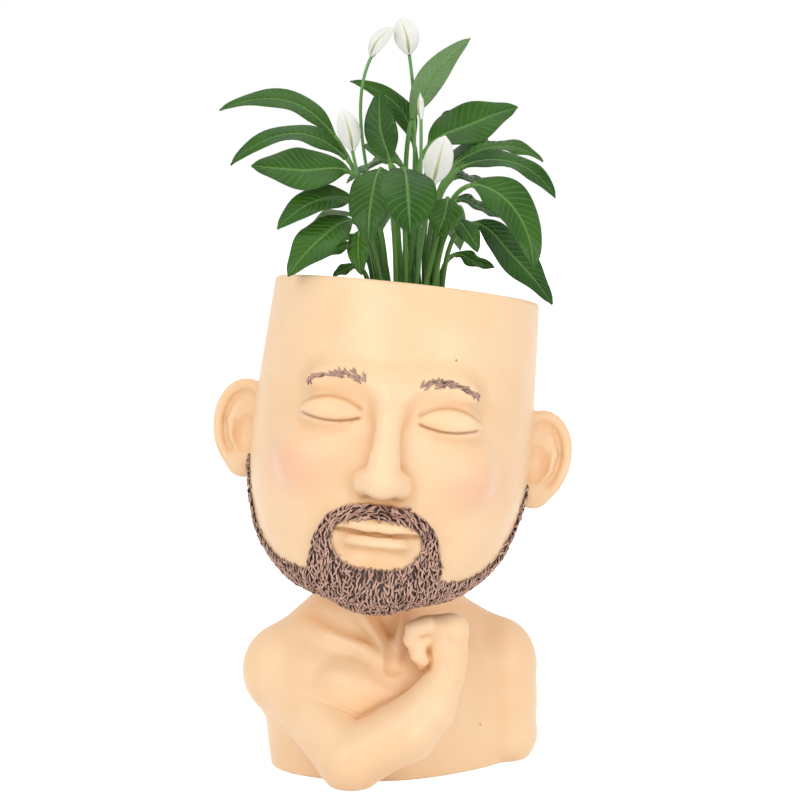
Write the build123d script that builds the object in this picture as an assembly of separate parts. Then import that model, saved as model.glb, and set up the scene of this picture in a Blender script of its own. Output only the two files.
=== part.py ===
from build123d import *
import math
import os

os.makedirs("parts", exist_ok=True)

# The figure stands on z = 0 and looks along -Y, and every length is in millimetres.

# Head: its own axis runs from the chin, z = 0, up to the rim of the pot opening. Its height
# is the bowl's depth and the solid chin under the bowl.
bowl_depth = 108.0
chin_depth = 36.0
head_height = bowl_depth + chin_depth
head_width = 132.0
face_depth = 69.0
nape_depth = 69.0
head_x = -12.0
head_y = 0.0
head_z = 80.0
head_tilt_back = 7.0
head_tilt_side = 6.0
head_turn = -2.0

# Bowl inside the head, and what hangs in it.
wall = 7.0
bowl_draft = 9.0
bowl_floor_fillet = 4.0
rim_rounding = 1.2
pot_clearance = 1.5
pot_below_rim = 10.0
pot_height = bowl_depth - pot_below_rim
pot_wall = 1.4
pot_lip_height = 8.0
pot_lip_proud = 0.5
pot_foot_inset = 4.0
pot_foot_height = 3.0
pot_notch_width = 9.0
pot_hole_radius = 3.5
pot_hole_count = 6
pot_notch_count = 3
soil_below_lip = 11.0
soil_clearance = 0.3

# Shoulders, neck and the bonded joint at the neck.
torso_width = 112.0
torso_depth = 74.0
torso_height = 66.0
torso_turn = 9.0
neck_radius = 23.0
neck_x = -4.0
neck_y = 6.0
joint_above_chin = 13.0
joint_z = head_z + joint_above_chin
spigot_radius = 18.0
spigot_length = 9.0
glue_gap = 0.15

# Drain from the bowl to the underside, and its rubber plug.
drain_radius = 6.0
drain_x = -4.0
drain_y = 13.0
plug_length = 12.0
plug_clearance = 0.06
plug_head_radius = 8.6
plug_head_height = 2.6
plug_recess_depth = 3.4
plug_recess_clearance = 0.6
plug_chamfer = 0.8

# Arms and hand.
shoulder_radius = 19.0
elbow_radius = 15.0
wrist_radius = 9.5
resting_arm_radius = 15.5
finger_radius = 4.3
finger_pitch = 7.6
thumb_radius = 5.0
palm_width = 20.0
palm_depth = 28.0
palm_height = 30.0

# Face, ears and beard, set out in thirds from the rim to the chin.
ear_height = 43.0
ear_reach = 24.0
ear_thickness = 8.0
ear_sweep = 28.0
ear_recess = 3.2
nose_width = 26.0
nose_reach = 19.0
beard_relief = 2.4
mouth_width = 38.0
brow_relief = 3.5

# Plant: reach is from the middle of the soil to the widest leaf tip.
plant_reach = 85.0
plant_height = 150.0
root_depth = 6.0
root_clearance = 0.3
crown_radius = plant_reach * 0.2
stem_width = plant_reach * 0.028
stem_rise = 3.0
stem_edge_share = 0.42
leaf_thickness = 0.9
leaf_edge = 0.45
stalk_width = plant_reach * 0.02
spathe_thickness = 0.7
spadix_radius = 1.5
spadix_length = 11.0
seat_gap = 0.1

overrun = 5.0
quarter_turn = 90

head_place = Pos(head_x, head_y, head_z) * Rot(0, 0, head_turn) * Rot(0, head_tilt_side, 0)
head_place = head_place * Rot(-head_tilt_back, 0, 0)
half_head = head_width / 2

# One row a section: height, half width, front, back and where it is widest, as shares of
# head_height, half the head_width, face_depth, nape_depth and nape_depth.
head_section_shares = [
    (0.000, 0.30, 0.85, -0.50, -0.68),
    (0.035, 0.52, 0.94, -0.20, -0.55),
    (0.085, 0.69, 0.985, 0.20, -0.32),
    (0.155, 0.83, 1.00, 0.60, -0.12),
    (0.250, 0.92, 1.00, 0.81, 0.00),
    (0.375, 0.98, 1.00, 0.93, 0.06),
    (0.530, 1.00, 0.99, 0.99, 0.07),
    (0.700, 0.985, 0.97, 1.00, 0.07),
    (0.860, 0.965, 0.955, 0.975, 0.05),
    (1.000, 0.945, 0.92, 0.945, 0.03),
]
rim_share = head_section_shares[-1][1]


def oval(half_width, front, back, widest):
    """Closed oval face on the level plane: front and back are where it crosses the Y axis."""
    ahead, behind = widest - front, back - widest
    quarters = [
        EllipticalCenterArc((0, widest), half_width, behind, 0, arc_size=quarter_turn),
        EllipticalCenterArc((0, widest), half_width, behind, 90, arc_size=quarter_turn),
        EllipticalCenterArc((0, widest), half_width, ahead, 180, arc_size=quarter_turn),
        EllipticalCenterArc((0, widest), half_width, ahead, 270, arc_size=quarter_turn),
    ]
    return make_face(Wire(quarters))


def head_form(skin=0):
    """The head from chin to rim as one lofted solid, grown outward by skin."""
    faces = []
    for level, width, front, back, widest in head_section_shares:
        drop = skin if level == 0 else 0
        face = oval(
            half_head * width + skin,
            -face_depth * front - skin,
            nape_depth * back + skin,
            nape_depth * widest,
        )
        faces.append(Pos(0, 0, head_height * level - drop) * face)
    return loft(faces)


def ball(middle, radii):
    """Ellipsoid with its middle and its three radii."""
    return Pos(*middle) * scale(Sphere(1), by=radii)


def limb(points, radii):
    """Rounded limb through points, with a ball at each and a cone between neighbours."""
    made = None
    for point, radius in zip(points, radii):
        knob = Pos(*point) * Sphere(radius)
        made = knob if made is None else made + knob
    for (a, ra), (b, rb) in zip(zip(points, radii), zip(points[1:], radii[1:])):
        along = Vector(b) - Vector(a)
        base = Plane(origin=a, z_dir=along)
        bottom = (Align.CENTER, Align.CENTER, Align.MIN)
        if abs(ra - rb) < radii[0] * 0.01:
            span = Cylinder(ra, along.length, align=bottom)
        else:
            span = Cone(ra, rb, along.length, align=bottom)
        made = made + base * span
    return made


def prism_x(outline, reach):
    """Solid through the head from side to side, with its outline in the Y-Z plane."""
    flat = make_face(Polyline(*[(0, y, z) for y, z in outline], close=True))
    return extrude(flat, reach, dir=(1, 0, 0), both=True)


def prism_front(outline, near, far):
    """Solid ahead of the head, its outline in the X-Z plane and its ends at y = near, far."""
    flat = make_face(Polyline(*[(x, far, z) for x, z in outline], close=True))
    return extrude(flat, far - near, dir=(0, -1, 0))


def mirrored(half_outline):
    """Closed outline from its right half, listed from the top down."""
    left = [(-x, z) for x, z in reversed(half_outline) if x > 0]
    return list(half_outline) + left


# Face heights by thirds: the rim is the hairline, then brow, nose base and chin.
third = head_height / 3
brow_z = 2 * third
nose_base_z = third
eye_z = 1.75 * third
mouth_z = third * 2 / 3
eye_width = head_width / 5


def nose():
    """Wedge-shaped nose from between the brows to its base, with its two wings."""
    half = nose_width / 2
    rows = [
        (eye_z + third * 0.32, half * 0.62, nose_reach * 0.14),
        (eye_z - third * 0.10, half * 0.48, nose_reach * 0.54),
        (nose_base_z + third * 0.34, half * 0.56, nose_reach * 0.84),
        (nose_base_z + third * 0.14, half * 0.66, nose_reach),
        (nose_base_z + third * 0.01, half * 0.56, nose_reach * 0.74),
    ]
    seat = -face_depth * 0.90
    faces = []
    for z, half_width, reach in rows:
        face = oval(half_width, -face_depth - reach, seat + half_width, seat)
        faces.append(Pos(0, 0, z) * face)
    body = loft(faces)
    wing = half * 0.36
    for side in (-1, 1):
        middle = (side * (half - wing), -face_depth - nose_reach * 0.22, nose_base_z + wing)
        body = body + ball(middle, (wing, nose_reach * 0.42, wing))
    return body


def ear():
    """Right-hand ear, a swept-back plate with its hollow, reaching into the head."""
    root = -ear_reach * 0.45
    rim = Spline(
        (0, 0),
        (ear_reach * 0.34, ear_height * 0.02),
        (ear_reach * 0.72, ear_height * 0.24),
        (ear_reach * 0.98, ear_height * 0.62),
        (ear_reach * 0.86, ear_height * 0.90),
        (ear_reach * 0.46, ear_height),
        (0, ear_height * 0.94),
    )
    sides = Polyline((0, ear_height * 0.94), (root, ear_height * 0.9), (root, 0), (0, 0))
    plate = extrude(make_face(Wire([*rim.edges(), *sides.edges()])), ear_thickness / 2, both=True)
    hollow = ball(
        (ear_reach * 0.36, ear_height * 0.54, ear_thickness / 2),
        (ear_reach * 0.34, ear_height * 0.30, ear_recess),
    )
    plate = plate - hollow
    upright = Rot(0, 0, ear_sweep) * Rot(quarter_turn, 0, 0) * plate
    side = half_head * 0.965
    return Pos(side, nape_depth * 0.10, third * 1.03) * upright


def beard():
    """Raised beard: moustache and chin beard round a bare mouth, and the jaw strap."""
    half = mouth_width / 2
    patch = prism_front(
        mirrored(
            [
                (0, nose_base_z + third * 0.02),
                (half * 0.76, nose_base_z - third * 0.02),
                (half * 1.30, mouth_z + third * 0.18),
                (half * 1.46, mouth_z - third * 0.10),
                (half * 1.56, third * 0.26),
                (half * 1.90, -third * 0.12),
                (0, -third * 0.14),
            ]
        ),
        -face_depth * 1.4,
        -face_depth * 0.30,
    )
    window = prism_front(
        mirrored(
            [
                (0, mouth_z + third * 0.12),
                (half * 0.62, mouth_z + third * 0.11),
                (half * 1.04, mouth_z + third * 0.02),
                (half * 1.08, mouth_z - third * 0.12),
                (half * 0.80, mouth_z - third * 0.29),
                (0, mouth_z - third * 0.33),
            ]
        ),
        -face_depth * 1.4,
        -face_depth * 0.30,
    )
    strap = prism_x(
        [
            (-face_depth * 1.05, -third * 0.14),
            (-face_depth * 0.55, -third * 0.08),
            (-face_depth * 0.24, third * 0.22),
            (face_depth * 0.05, third * 0.84),
            (face_depth * 0.08, third * 1.30),
            (-face_depth * 0.01, third * 1.30),
            (-face_depth * 0.08, third * 0.92),
            (-face_depth * 0.34, third * 0.46),
            (-face_depth * 0.68, third * 0.26),
            (-face_depth * 1.05, third * 0.28),
        ],
        head_width,
    )
    return head_form(beard_relief) & (patch - window + strap)


def bowl():
    """Tapered hollow of the head, open through the rim."""
    floor_radius = half_head * rim_share - wall - bowl_draft
    top_radius = floor_radius + bowl_draft
    cup = Cone(floor_radius, top_radius, bowl_depth, align=(Align.CENTER, Align.CENTER, Align.MIN))
    floor_edge = cup.edges().sort_by(Axis.Z)[0]
    cup = fillet(floor_edge, bowl_floor_fillet)
    mouth = Pos(0, 0, bowl_depth) * Cylinder(
        top_radius, overrun, align=(Align.CENTER, Align.CENTER, Align.MIN)
    )
    return Pos(0, 0, head_height - bowl_depth) * (cup + mouth)


def neck(grow=0):
    """Upright neck with its spigot, in the figure's frame; grow opens the socket for it."""
    bottom = (Align.CENTER, Align.CENTER, Align.MIN)
    start = torso_height * 0.7
    column = Pos(neck_x, neck_y, start) * Cylinder(
        neck_radius + grow, joint_z + grow - start, align=bottom
    )
    peg = Pos(neck_x, neck_y, joint_z) * Cylinder(
        spigot_radius + grow, spigot_length + grow, align=bottom
    )
    return column + peg


def drain():
    """Straight drain channel from the underside up into the bowl."""
    top = head_z + head_height - bowl_depth + overrun
    channel = Cylinder(drain_radius, top, align=(Align.CENTER, Align.CENTER, Align.MIN))
    return Pos(drain_x, drain_y, -overrun / 2) * channel


def head_shell():
    """Hollow head casting with its face, ears and raised beard."""
    form = head_form()
    for side in (-1, 1):
        brow = ball(
            (side * eye_width * 0.61, -face_depth * 0.77, brow_z + third * 0.02),
            (eye_width * 0.83, face_depth * 0.25, third * 0.25),
        )
        cheek = ball(
            (side * eye_width * 0.91, -face_depth * 0.67, third * 1.25),
            (eye_width * 0.92, face_depth * 0.24, third * 0.44),
        )
        form = form + brow + cheek
    form = form + ball(
        (0, -face_depth * 0.81, mouth_z),
        (mouth_width * 0.68, face_depth * 0.24, third * 0.36),
    )
    form = form + nose()
    for side in (-1, 1):
        socket = ball(
            (side * eye_width, -face_depth * 1.06, eye_z + third * 0.06),
            (eye_width * 0.62, brow_relief * 2.2, third * 0.22),
        )
        form = form - socket
    for side in (-1, 1):
        lid = ball(
            (side * eye_width, -face_depth * 0.80, eye_z),
            (eye_width * 0.52, face_depth * 0.16, third * 0.18),
        )
        form = form + lid
    for z, width, height in (
        (mouth_z + third * 0.05, mouth_width * 0.46, third * 0.075),
        (mouth_z - third * 0.06, mouth_width * 0.38, third * 0.085),
    ):
        form = form + ball((0, -face_depth * 0.95, z), (width, face_depth * 0.085, height))
    form = form + beard()
    form = form + ear() + mirror(ear(), Plane.YZ)
    form = form - bowl()
    lip = form.edges().filter_by_position(Axis.Z, head_height - rim_rounding / 9, head_height)
    rounded = fillet(lip, rim_rounding)
    form = head_place * rounded
    return form - neck(glue_gap) - drain()


# One row a section: height, half width, half depth, and the shift of its middle in X and Y,
# as shares of torso_height, half the torso_width, half the torso_depth and those two.
torso_section_shares = [
    (0.00, 1.00, 1.06, -0.02, 0.08),
    (0.30, 1.04, 1.08, -0.02, 0.07),
    (0.58, 1.05, 1.04, -0.04, 0.06),
    (0.80, 1.02, 0.90, -0.05, 0.08),
    (1.00, 0.88, 0.68, -0.05, 0.14),
    (1.18, 0.60, 0.58, -0.06, 0.18),
    (1.32, 0.42, 0.58, -0.07, 0.18),
]


def torso():
    """Chest and shoulders up to the root of the neck, cut flat underneath."""
    faces = []
    half_width, half_depth = torso_width / 2, torso_depth / 2
    for level, width, depth, shift_x, shift_y in torso_section_shares:
        deep = half_depth * depth
        face = oval(half_width * width, -deep, deep, 0)
        spot = Pos(half_width * shift_x, half_depth * shift_y, torso_height * level)
        faces.append(spot * face)
    return Rot(0, 0, torso_turn) * loft(faces)


def resting_arm():
    """Upper arm hanging at the figure's left side, cut by the base."""
    top = (torso_width * 0.42, torso_depth * 0.10, torso_height * 0.66)
    foot = (torso_width * 0.445, torso_depth * 0.12, -torso_height * 0.08)
    return limb([top, foot], [shoulder_radius, resting_arm_radius])


def raised_arm():
    """Upper arm forward to the elbow, and the forearm across the chest to the wrist."""
    shoulder = (-torso_width * 0.475, -torso_depth * 0.02, torso_height * 0.62)
    elbow = (-torso_width * 0.20, -torso_depth * 0.56, torso_height * 0.22)
    middle = (torso_width * 0.02, -torso_depth * 0.60, torso_height * 0.42)
    return limb(
        [shoulder, elbow, middle, wrist_spot],
        [shoulder_radius, elbow_radius, elbow_radius * 0.9, wrist_radius],
    )


wrist_spot = (torso_width * 0.19, -torso_depth * 0.56, torso_height * 0.69)


def hand():
    """Loosely closed hand above the wrist: palm, four curled fingers and the thumb."""
    wx, wy, wz = wrist_spot
    palm_middle = (wx + palm_width * 0.05, wy + palm_depth * 0.18, wz + palm_height * 0.50)
    made = ball(palm_middle, (palm_width * 0.52, palm_depth * 0.50, palm_height * 0.60))
    for k in range(4):
        y = wy - palm_depth * 0.14 + k * finger_pitch
        drop = k * finger_radius * 0.25
        knuckle = (wx + palm_width * 0.02, y, wz + palm_height * 0.92 - drop)
        bend = (wx - palm_width * 0.72, y, wz + palm_height * 0.80 - drop)
        second = (wx - palm_width * 0.78, y, wz + palm_height * 0.50 - drop)
        tip = (wx - palm_width * 0.42, y, wz + palm_height * 0.34 - drop)
        made = made + limb(
            [knuckle, bend, second, tip],
            [finger_radius * 1.15, finger_radius, finger_radius * 0.92, finger_radius * 0.8],
        )
    thumb = limb(
        [
            (wx + palm_width * 0.10, wy - palm_depth * 0.20, wz + palm_height * 0.24),
            (wx - palm_width * 0.18, wy - palm_depth * 0.34, wz + palm_height * 0.52),
            (wx - palm_width * 0.52, wy - palm_depth * 0.26, wz + palm_height * 0.62),
        ],
        [thumb_radius * 1.15, thumb_radius, thumb_radius * 0.8],
    )
    return made + thumb


def plug_recess():
    """Shallow recess round the drain that takes the plug's head clear of the floor."""
    reach = plug_head_radius + plug_recess_clearance
    recess = Cylinder(
        reach, plug_recess_depth + overrun, align=(Align.CENTER, Align.CENTER, Align.MAX)
    )
    return Pos(drain_x, drain_y, plug_recess_depth) * recess


def bust():
    """Solid shoulders and arms with the neck and its spigot, bored for the drain."""
    chest = torso()
    for side in (-1, 1):
        muscle = ball(
            (side * torso_width * 0.20, -torso_depth * 0.30, torso_height * 0.52),
            (torso_width * 0.20, torso_depth * 0.20, torso_height * 0.24),
        )
        chest = chest + Rot(0, 0, torso_turn) * muscle
    form = chest + resting_arm() + raised_arm() + hand() + neck()
    below = Box(
        torso_width * 3, torso_width * 3, torso_width, align=(Align.CENTER, Align.CENTER, Align.MAX)
    )
    return form - below - drain() - plug_recess()


spans_a_loft = 3
leaf_tip_share = 0.03
leaf_hollow_share = 0.06
spathe_hollow_share = 0.14
pot_hole_ring_share = 0.62
stalk_shares = [0, 0.25, 0.5, 0.75, 1]
spathe_outline_shares = [(0, 0.22), (0.16, 0.62), (0.38, 1.00), (0.62, 0.86), (0.84, 0.44), (1, 0.06)]
bud_outline_shares = [(0, 0.5), (0.3, 1.0), (0.7, 0.7), (1, 0.12)]
# Leaves: the root in the soil as shares of crown_radius, then base, middle and tip of the
# blade from the middle of the soil, as shares of plant_reach in X and Y and of
# plant_height in Z, its width as a share of plant_reach, and where its upper face looks.
leaf_shares = [
    ((-0.62, 0.28), (-0.38, 0.12, 0.62), (-0.62, 0.18, 0.75), (-1.03, 0.18, 0.70), 0.20, (0, -0.6, 0.8)),
    ((-0.62, 0.06), (-0.30, -0.03, 0.55), (-0.56, -0.08, 0.65), (-0.94, -0.11, 0.53), 0.20, (0, -0.6, 0.8)),
    ((-0.50, -0.40), (-0.29, -0.19, 0.53), (-0.55, -0.31, 0.54), (-0.80, -0.36, 0.53), 0.27, (0, -0.8, 0.6)),
    ((-0.74, -0.42), (-0.27, -0.17, 0.42), (-0.45, -0.33, 0.43), (-0.67, -0.43, 0.34), 0.20, (-0.2, -0.8, 0.6)),
    ((-0.72, -0.70), (-0.27, -0.26, 0.36), (-0.45, -0.45, 0.31), (-0.61, -0.52, 0.20), 0.24, (-0.3, -0.85, 0.5)),
    ((-0.24, -0.78), (-0.12, -0.43, 0.52), (-0.17, -0.62, 0.43), (-0.18, -0.66, 0.31), 0.25, (-0.1, -0.25, 0.97)),
    ((0.04, -0.84), (0.01, -0.45, 0.52), (0.03, -0.68, 0.44), (0.04, -0.73, 0.33), 0.30, (0.1, -0.25, 0.97)),
    ((-0.14, -0.40), (-0.07, -0.15, 0.54), (-0.12, -0.17, 0.66), (-0.13, -0.19, 0.78), 0.17, (0, -1, 0.2)),
    ((0.04, 0.34), (0.06, 0.13, 0.60), (-0.02, 0.14, 0.71), (-0.29, 0.12, 0.79), 0.13, (0, -0.8, 0.6)),
    ((0.26, -0.08), (0.05, 0.00, 0.67), (0.16, 0.02, 0.80), (0.37, 0.04, 0.92), 0.15, (0, 1, 0.1)),
    ((0.48, 0.19), (0.145, 0.065, 0.59), (0.38, 0.16, 0.66), (0.64, 0.21, 0.71), 0.25, (0, -0.8, 0.6)),
    ((0.54, 0.50), (0.20, 0.16, 0.50), (0.34, 0.28, 0.56), (0.48, 0.35, 0.61), 0.16, (0, -0.6, 0.8)),
    ((0.60, 0.02), (0.29, 0.02, 0.53), (0.56, 0.07, 0.59), (0.78, 0.09, 0.54), 0.14, (0, -0.5, 0.85)),
    ((0.62, -0.22), (0.32, -0.12, 0.53), (0.60, -0.15, 0.56), (0.83, -0.17, 0.44), 0.19, (0, -0.6, 0.8)),
    ((0.88, -0.44), (0.37, -0.26, 0.47), (0.59, -0.36, 0.41), (0.70, -0.38, 0.22), 0.25, (0.3, -0.85, 0.5)),
    ((1.00, -0.22), (0.39, -0.10, 0.35), (0.61, -0.12, 0.25), (0.82, -0.15, 0.10), 0.23, (0.3, -0.75, 0.6)),
    ((0.42, -0.82), (0.24, -0.38, 0.43), (0.22, -0.46, 0.38), (0.18, -0.51, 0.32), 0.18, (0, -0.9, 0.5)),
    ((0.74, -0.70), (0.29, -0.27, 0.36), (0.35, -0.38, 0.33), (0.40, -0.43, 0.27), 0.12, (0.2, -0.9, 0.4)),
    ((1.00, 0.04), (0.29, 0.00, 0.25), (0.40, 0.02, 0.23), (0.51, 0.04, 0.21), 0.10, (0, -0.7, 0.7)),
    ((-0.90, -0.12), (-0.26, -0.03, 0.28), (-0.37, -0.05, 0.27), (-0.48, -0.08, 0.23), 0.08, (0, -0.7, 0.7)),
    ((-0.98, -0.44), (-0.25, -0.17, 0.22), (-0.32, -0.19, 0.21), (-0.38, -0.22, 0.19), 0.07, (0, -0.7, 0.7)),
    ((-0.50, -0.92), (-0.23, -0.35, 0.33), (-0.24, -0.41, 0.28), (-0.22, -0.43, 0.20), 0.12, (-0.2, -0.9, 0.3)),
    ((-0.88, 0.40), (-0.25, 0.11, 0.30), (-0.32, 0.14, 0.30), (-0.38, 0.16, 0.29), 0.06, (0, -0.7, 0.7)),
    ((-0.20, 0.48), (-0.09, 0.21, 0.54), (-0.21, 0.32, 0.52), (-0.32, 0.40, 0.47), 0.15, (0, -0.5, 0.85)),
    ((-0.10, -0.16), (-0.01, -0.05, 0.53), (-0.12, -0.03, 0.57), (-0.22, 0.00, 0.59), 0.09, (0, 0.9, 0.3)),
    ((0.72, 0.36), (0.29, 0.17, 0.49), (0.41, 0.27, 0.48), (0.49, 0.35, 0.47), 0.13, (0, -0.6, 0.8)),
    ((0.80, 0.22), (0.30, 0.07, 0.42), (0.43, 0.16, 0.40), (0.56, 0.23, 0.36), 0.13, (0, -0.6, 0.8)),
    ((0.14, 0.58), (0.20, 0.23, 0.64), (0.24, 0.25, 0.68), (0.27, 0.28, 0.70), 0.05, (0, -1, 0.2)),
    ((-0.12, 0.93), (-0.05, 0.40, 0.40), (-0.10, 0.64, 0.42), (-0.16, 0.90, 0.28), 0.24, (0, 0.4, 0.9)),
    ((0.32, 0.95), (0.14, 0.42, 0.36), (0.24, 0.66, 0.38), (0.34, 0.88, 0.24), 0.22, (0.1, 0.4, 0.9)),
    ((-0.58, 0.82), (-0.24, 0.34, 0.36), (-0.40, 0.54, 0.36), (-0.56, 0.72, 0.24), 0.20, (-0.2, 0.4, 0.9)),
]
# Blade outline: how far along the blade, and its width there as a share of its widest.
blade_outline_shares = [(0.10, 0.42), (0.26, 0.84), (0.44, 1.00), (0.64, 0.88), (0.82, 0.52)]
# Flowers: root, then base, middle and tip of the spathe, its width and face, likewise.
flower_shares = [
    ((-0.04, 0.10), (0.04, 0.04, 0.79), (0.03, 0.02, 0.89), (-0.01, 0.02, 0.99), 0.13, (0, -1, 0.1)),
    ((-0.34, 0.06), (-0.17, 0.00, 0.79), (-0.15, -0.05, 0.90), (-0.05, -0.08, 0.96), 0.10, (-0.3, -1, 0.2)),
    ((-0.44, -0.14), (-0.27, -0.10, 0.55), (-0.28, -0.12, 0.60), (-0.33, -0.15, 0.71), 0.12, (0.1, -1, 0.1)),
    ((0.24, -0.54), (0.16, -0.31, 0.46), (0.17, -0.33, 0.51), (0.22, -0.38, 0.63), 0.15, (0.1, -1, 0.2)),
]
bud_shares = ((0.26, -0.30), (0.10, -0.10, 0.60), (0.10, -0.10, 0.66), (0.10, -0.11, 0.76), 0.05, (0, -1, 0.1))


def in_row(point):
    """A point of the head's own frame, in the figure's frame."""
    return (head_place * Pos(*point)).position


soil_z = head_height - bowl_depth + seat_gap + pot_height - soil_below_lip
soil_middle = in_row((0, 0, soil_z))
head_axis = (in_row((0, 0, head_height)) - in_row((0, 0, 0))).normalized()


def plant_point(share):
    """A point above the soil from its shares of plant_reach and plant_height."""
    x, y, z = share
    return soil_middle + Vector(x * plant_reach, y * plant_reach, z * plant_height)


def root_of(share):
    """Where a stem leaves the soil, from its shares of crown_radius."""
    return in_row((share[0] * crown_radius, share[1] * crown_radius, soil_z))


def hermite(a, b, ta, tb, t):
    """Point on the cubic from a to b with end tangents ta and tb."""
    return (
        a * (2 * t**3 - 3 * t**2 + 1)
        + ta * (t**3 - 2 * t**2 + t)
        + b * (3 * t**2 - 2 * t**3)
        + tb * (t**3 - t**2)
    )


def blade_curve(base, middle, tip, start):
    """Centre line of a blade as a function of 0 to 1, leaving base along start."""
    first, last = (middle - base).length, (tip - middle).length
    through = ((middle - base) / first + (tip - middle) / last).normalized()
    end = ((tip - middle) * 2 / last - through).normalized()

    def at(t):
        if t < 0.5:
            return hermite(base, middle, start * first, through * first, 2 * t)
        return hermite(middle, tip, through * last, end * last, 2 * t - 1)

    return at


def stem_curve(root, base, end):
    """Centre line of a stem as a function of 0 to 1: up along the head, then to base."""
    foot = root + head_axis * stem_rise
    span = (base - foot).length

    def at(t):
        return hermite(foot, base, head_axis * span * 0.8, end * span * 0.9, t)

    return at


def direction(curve, t):
    """Unit tangent of a curve given as a function of 0 to 1."""
    step = 0.01
    low, high = max(0, t - step), min(1, t + step)
    return (curve(high) - curve(low)).normalized()


def stations(row):
    """Sections along a leaf: where, which way, the upper face, width, thickness, blade?"""
    base, middle, tip = (plant_point(share) for share in row[1:4])
    widest, face = row[4] * plant_reach, Vector(row[5])
    root = root_of(row[0])
    heading = (middle - base).normalized()
    rise = (base - root).normalized()
    end = (heading * 0.6 + rise * 0.4).normalized()
    stem, blade = stem_curve(root, base, end), blade_curve(base, middle, tip, end)
    out = Vector(base.X - root.X, base.Y - root.Y, 0)
    inward = -out.normalized()
    made = [(root - head_axis * root_depth, head_axis, inward, stem_width, stem_width, 0)]
    for t in (0, 0.3, 0.6, 0.85):
        looks = inward * (1 - t) + face * t
        made.append((stem(t), direction(stem, t), looks, stem_width, stem_width, 0))
    for t, share in [(0, stem_width / widest), *blade_outline_shares, (1, leaf_tip_share)]:
        thick = stem_width + (leaf_thickness - stem_width) * min(1, t / 0.10)
        hollow = leaf_hollow_share if 0 < t < 1 else 0
        made.append((blade(t), direction(blade, t), face, widest * share, thick, hollow))
    return made


def section(place, heading, looks, width, thick, hollow):
    """Thin closed outline across a leaf: two arcs and two short sides, always in one order."""
    across = looks.cross(heading).normalized()
    up = heading.cross(across).normalized()
    edge = thick * (stem_edge_share if thick == stem_width else leaf_edge / leaf_thickness)
    dip = width * hollow

    def spot(sideways, height):
        return place + across * (sideways * width / 2) + up * height

    top = ThreePointArc(spot(-1, edge / 2), spot(0, thick / 2 - dip), spot(1, edge / 2))
    right = Line(spot(1, edge / 2), spot(1, -edge / 2))
    under = ThreePointArc(spot(1, -edge / 2), spot(0, -thick / 2 - dip), spot(-1, -edge / 2))
    left = Line(spot(-1, -edge / 2), spot(-1, edge / 2))
    return make_face(Wire([top, right, under, left]))


def leaf(row):
    """One leaf: stem and blade in short lofts, none of which turns by a right angle."""
    faces = [section(*station) for station in stations(row)]
    starts = range(0, len(faces) - 1, spans_a_loft)
    pieces = [loft(faces[k : k + spans_a_loft + 1], ruled=True) for k in starts]
    return pieces[0] + pieces[1:]


def flower(row, bud=False):
    """Stalk, white spathe and, on an open flower, the spadix on the stalk's end."""
    root = root_of(row[0])
    base, middle, tip = (plant_point(share) for share in row[1:4])
    widest, face = row[4] * plant_reach, Vector(row[5])
    heading = (middle - base).normalized()
    stalk_path = stem_curve(root, base, heading)
    sunk = root - head_axis * root_depth
    foot = Plane(origin=sunk, z_dir=head_axis) * Circle(stalk_width / 2).face()
    faces = [foot]
    for t in stalk_shares:
        spot = Plane(origin=stalk_path(t), z_dir=direction(stalk_path, t))
        faces.append(spot * Circle(stalk_width / 2).face())
    stalk = loft(faces)
    across = face.cross(heading).normalized()
    outward = heading.cross(across).normalized()
    if bud:
        path = blade_curve(base, middle, tip, heading)
        rings = []
        for t, share in bud_outline_shares:
            spot = Plane(origin=path(t) + heading * seat_gap, z_dir=direction(path, t))
            rings.append(spot * Circle(widest / 2 * share).face())
        return stalk, loft(rings), None
    back = outward * -(spadix_radius + spathe_thickness / 2 + seat_gap)
    path = blade_curve(base + back, middle + back, tip + back, heading)
    blades = []
    for t, share in spathe_outline_shares:
        going = direction(path, t)
        wide = widest * share
        hollow = spathe_hollow_share * math.sin(math.pi * min(1, t + spathe_hollow_share))
        blades.append(section(path(t), going, face, wide, spathe_thickness, hollow))
    spathe = loft(blades, ruled=True)
    start = base + heading * seat_gap
    body = Plane(origin=start, z_dir=heading) * Cylinder(
        spadix_radius, spadix_length, align=(Align.CENTER, Align.CENTER, Align.MIN)
    )
    spadix = body + Pos(*(start + heading * spadix_length)) * Sphere(spadix_radius)
    return stalk, spathe, spadix


def socket(share, radius):
    """Hole in the soil for one stem."""
    depth = root_depth + root_clearance
    hole = Cylinder(radius + root_clearance, depth + overrun, align=(Align.CENTER,) * 2 + (Align.MIN,))
    return Pos(share[0] * crown_radius, share[1] * crown_radius, soil_z - depth) * hole


def soil():
    """Soil in the nursery pot, with a hole for every stem."""
    floor_z = pot_floor_z + pot_wall + seat_gap
    low, high = pot_radius(floor_z), pot_radius(soil_z)
    plug = Cone(
        low - pot_wall - soil_clearance,
        high - pot_wall - soil_clearance,
        soil_z - floor_z,
        align=(Align.CENTER, Align.CENTER, Align.MIN),
    )
    plug = Pos(0, 0, floor_z) * plug
    holes = [socket(row[0], stem_width / 2) for row in leaf_shares]
    holes += [socket(row[0], stalk_width / 2) for row in [*flower_shares, bud_shares]]
    return head_place * (plug - holes)


pot_floor_z = head_height - bowl_depth + seat_gap + pot_foot_height


def pot_radius(z):
    """Outer radius of the nursery pot at a height in the head."""
    floor_radius = half_head * rim_share - wall - bowl_draft
    rise = z - (head_height - bowl_depth)
    return floor_radius + bowl_draft * rise / bowl_depth - pot_clearance


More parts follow.
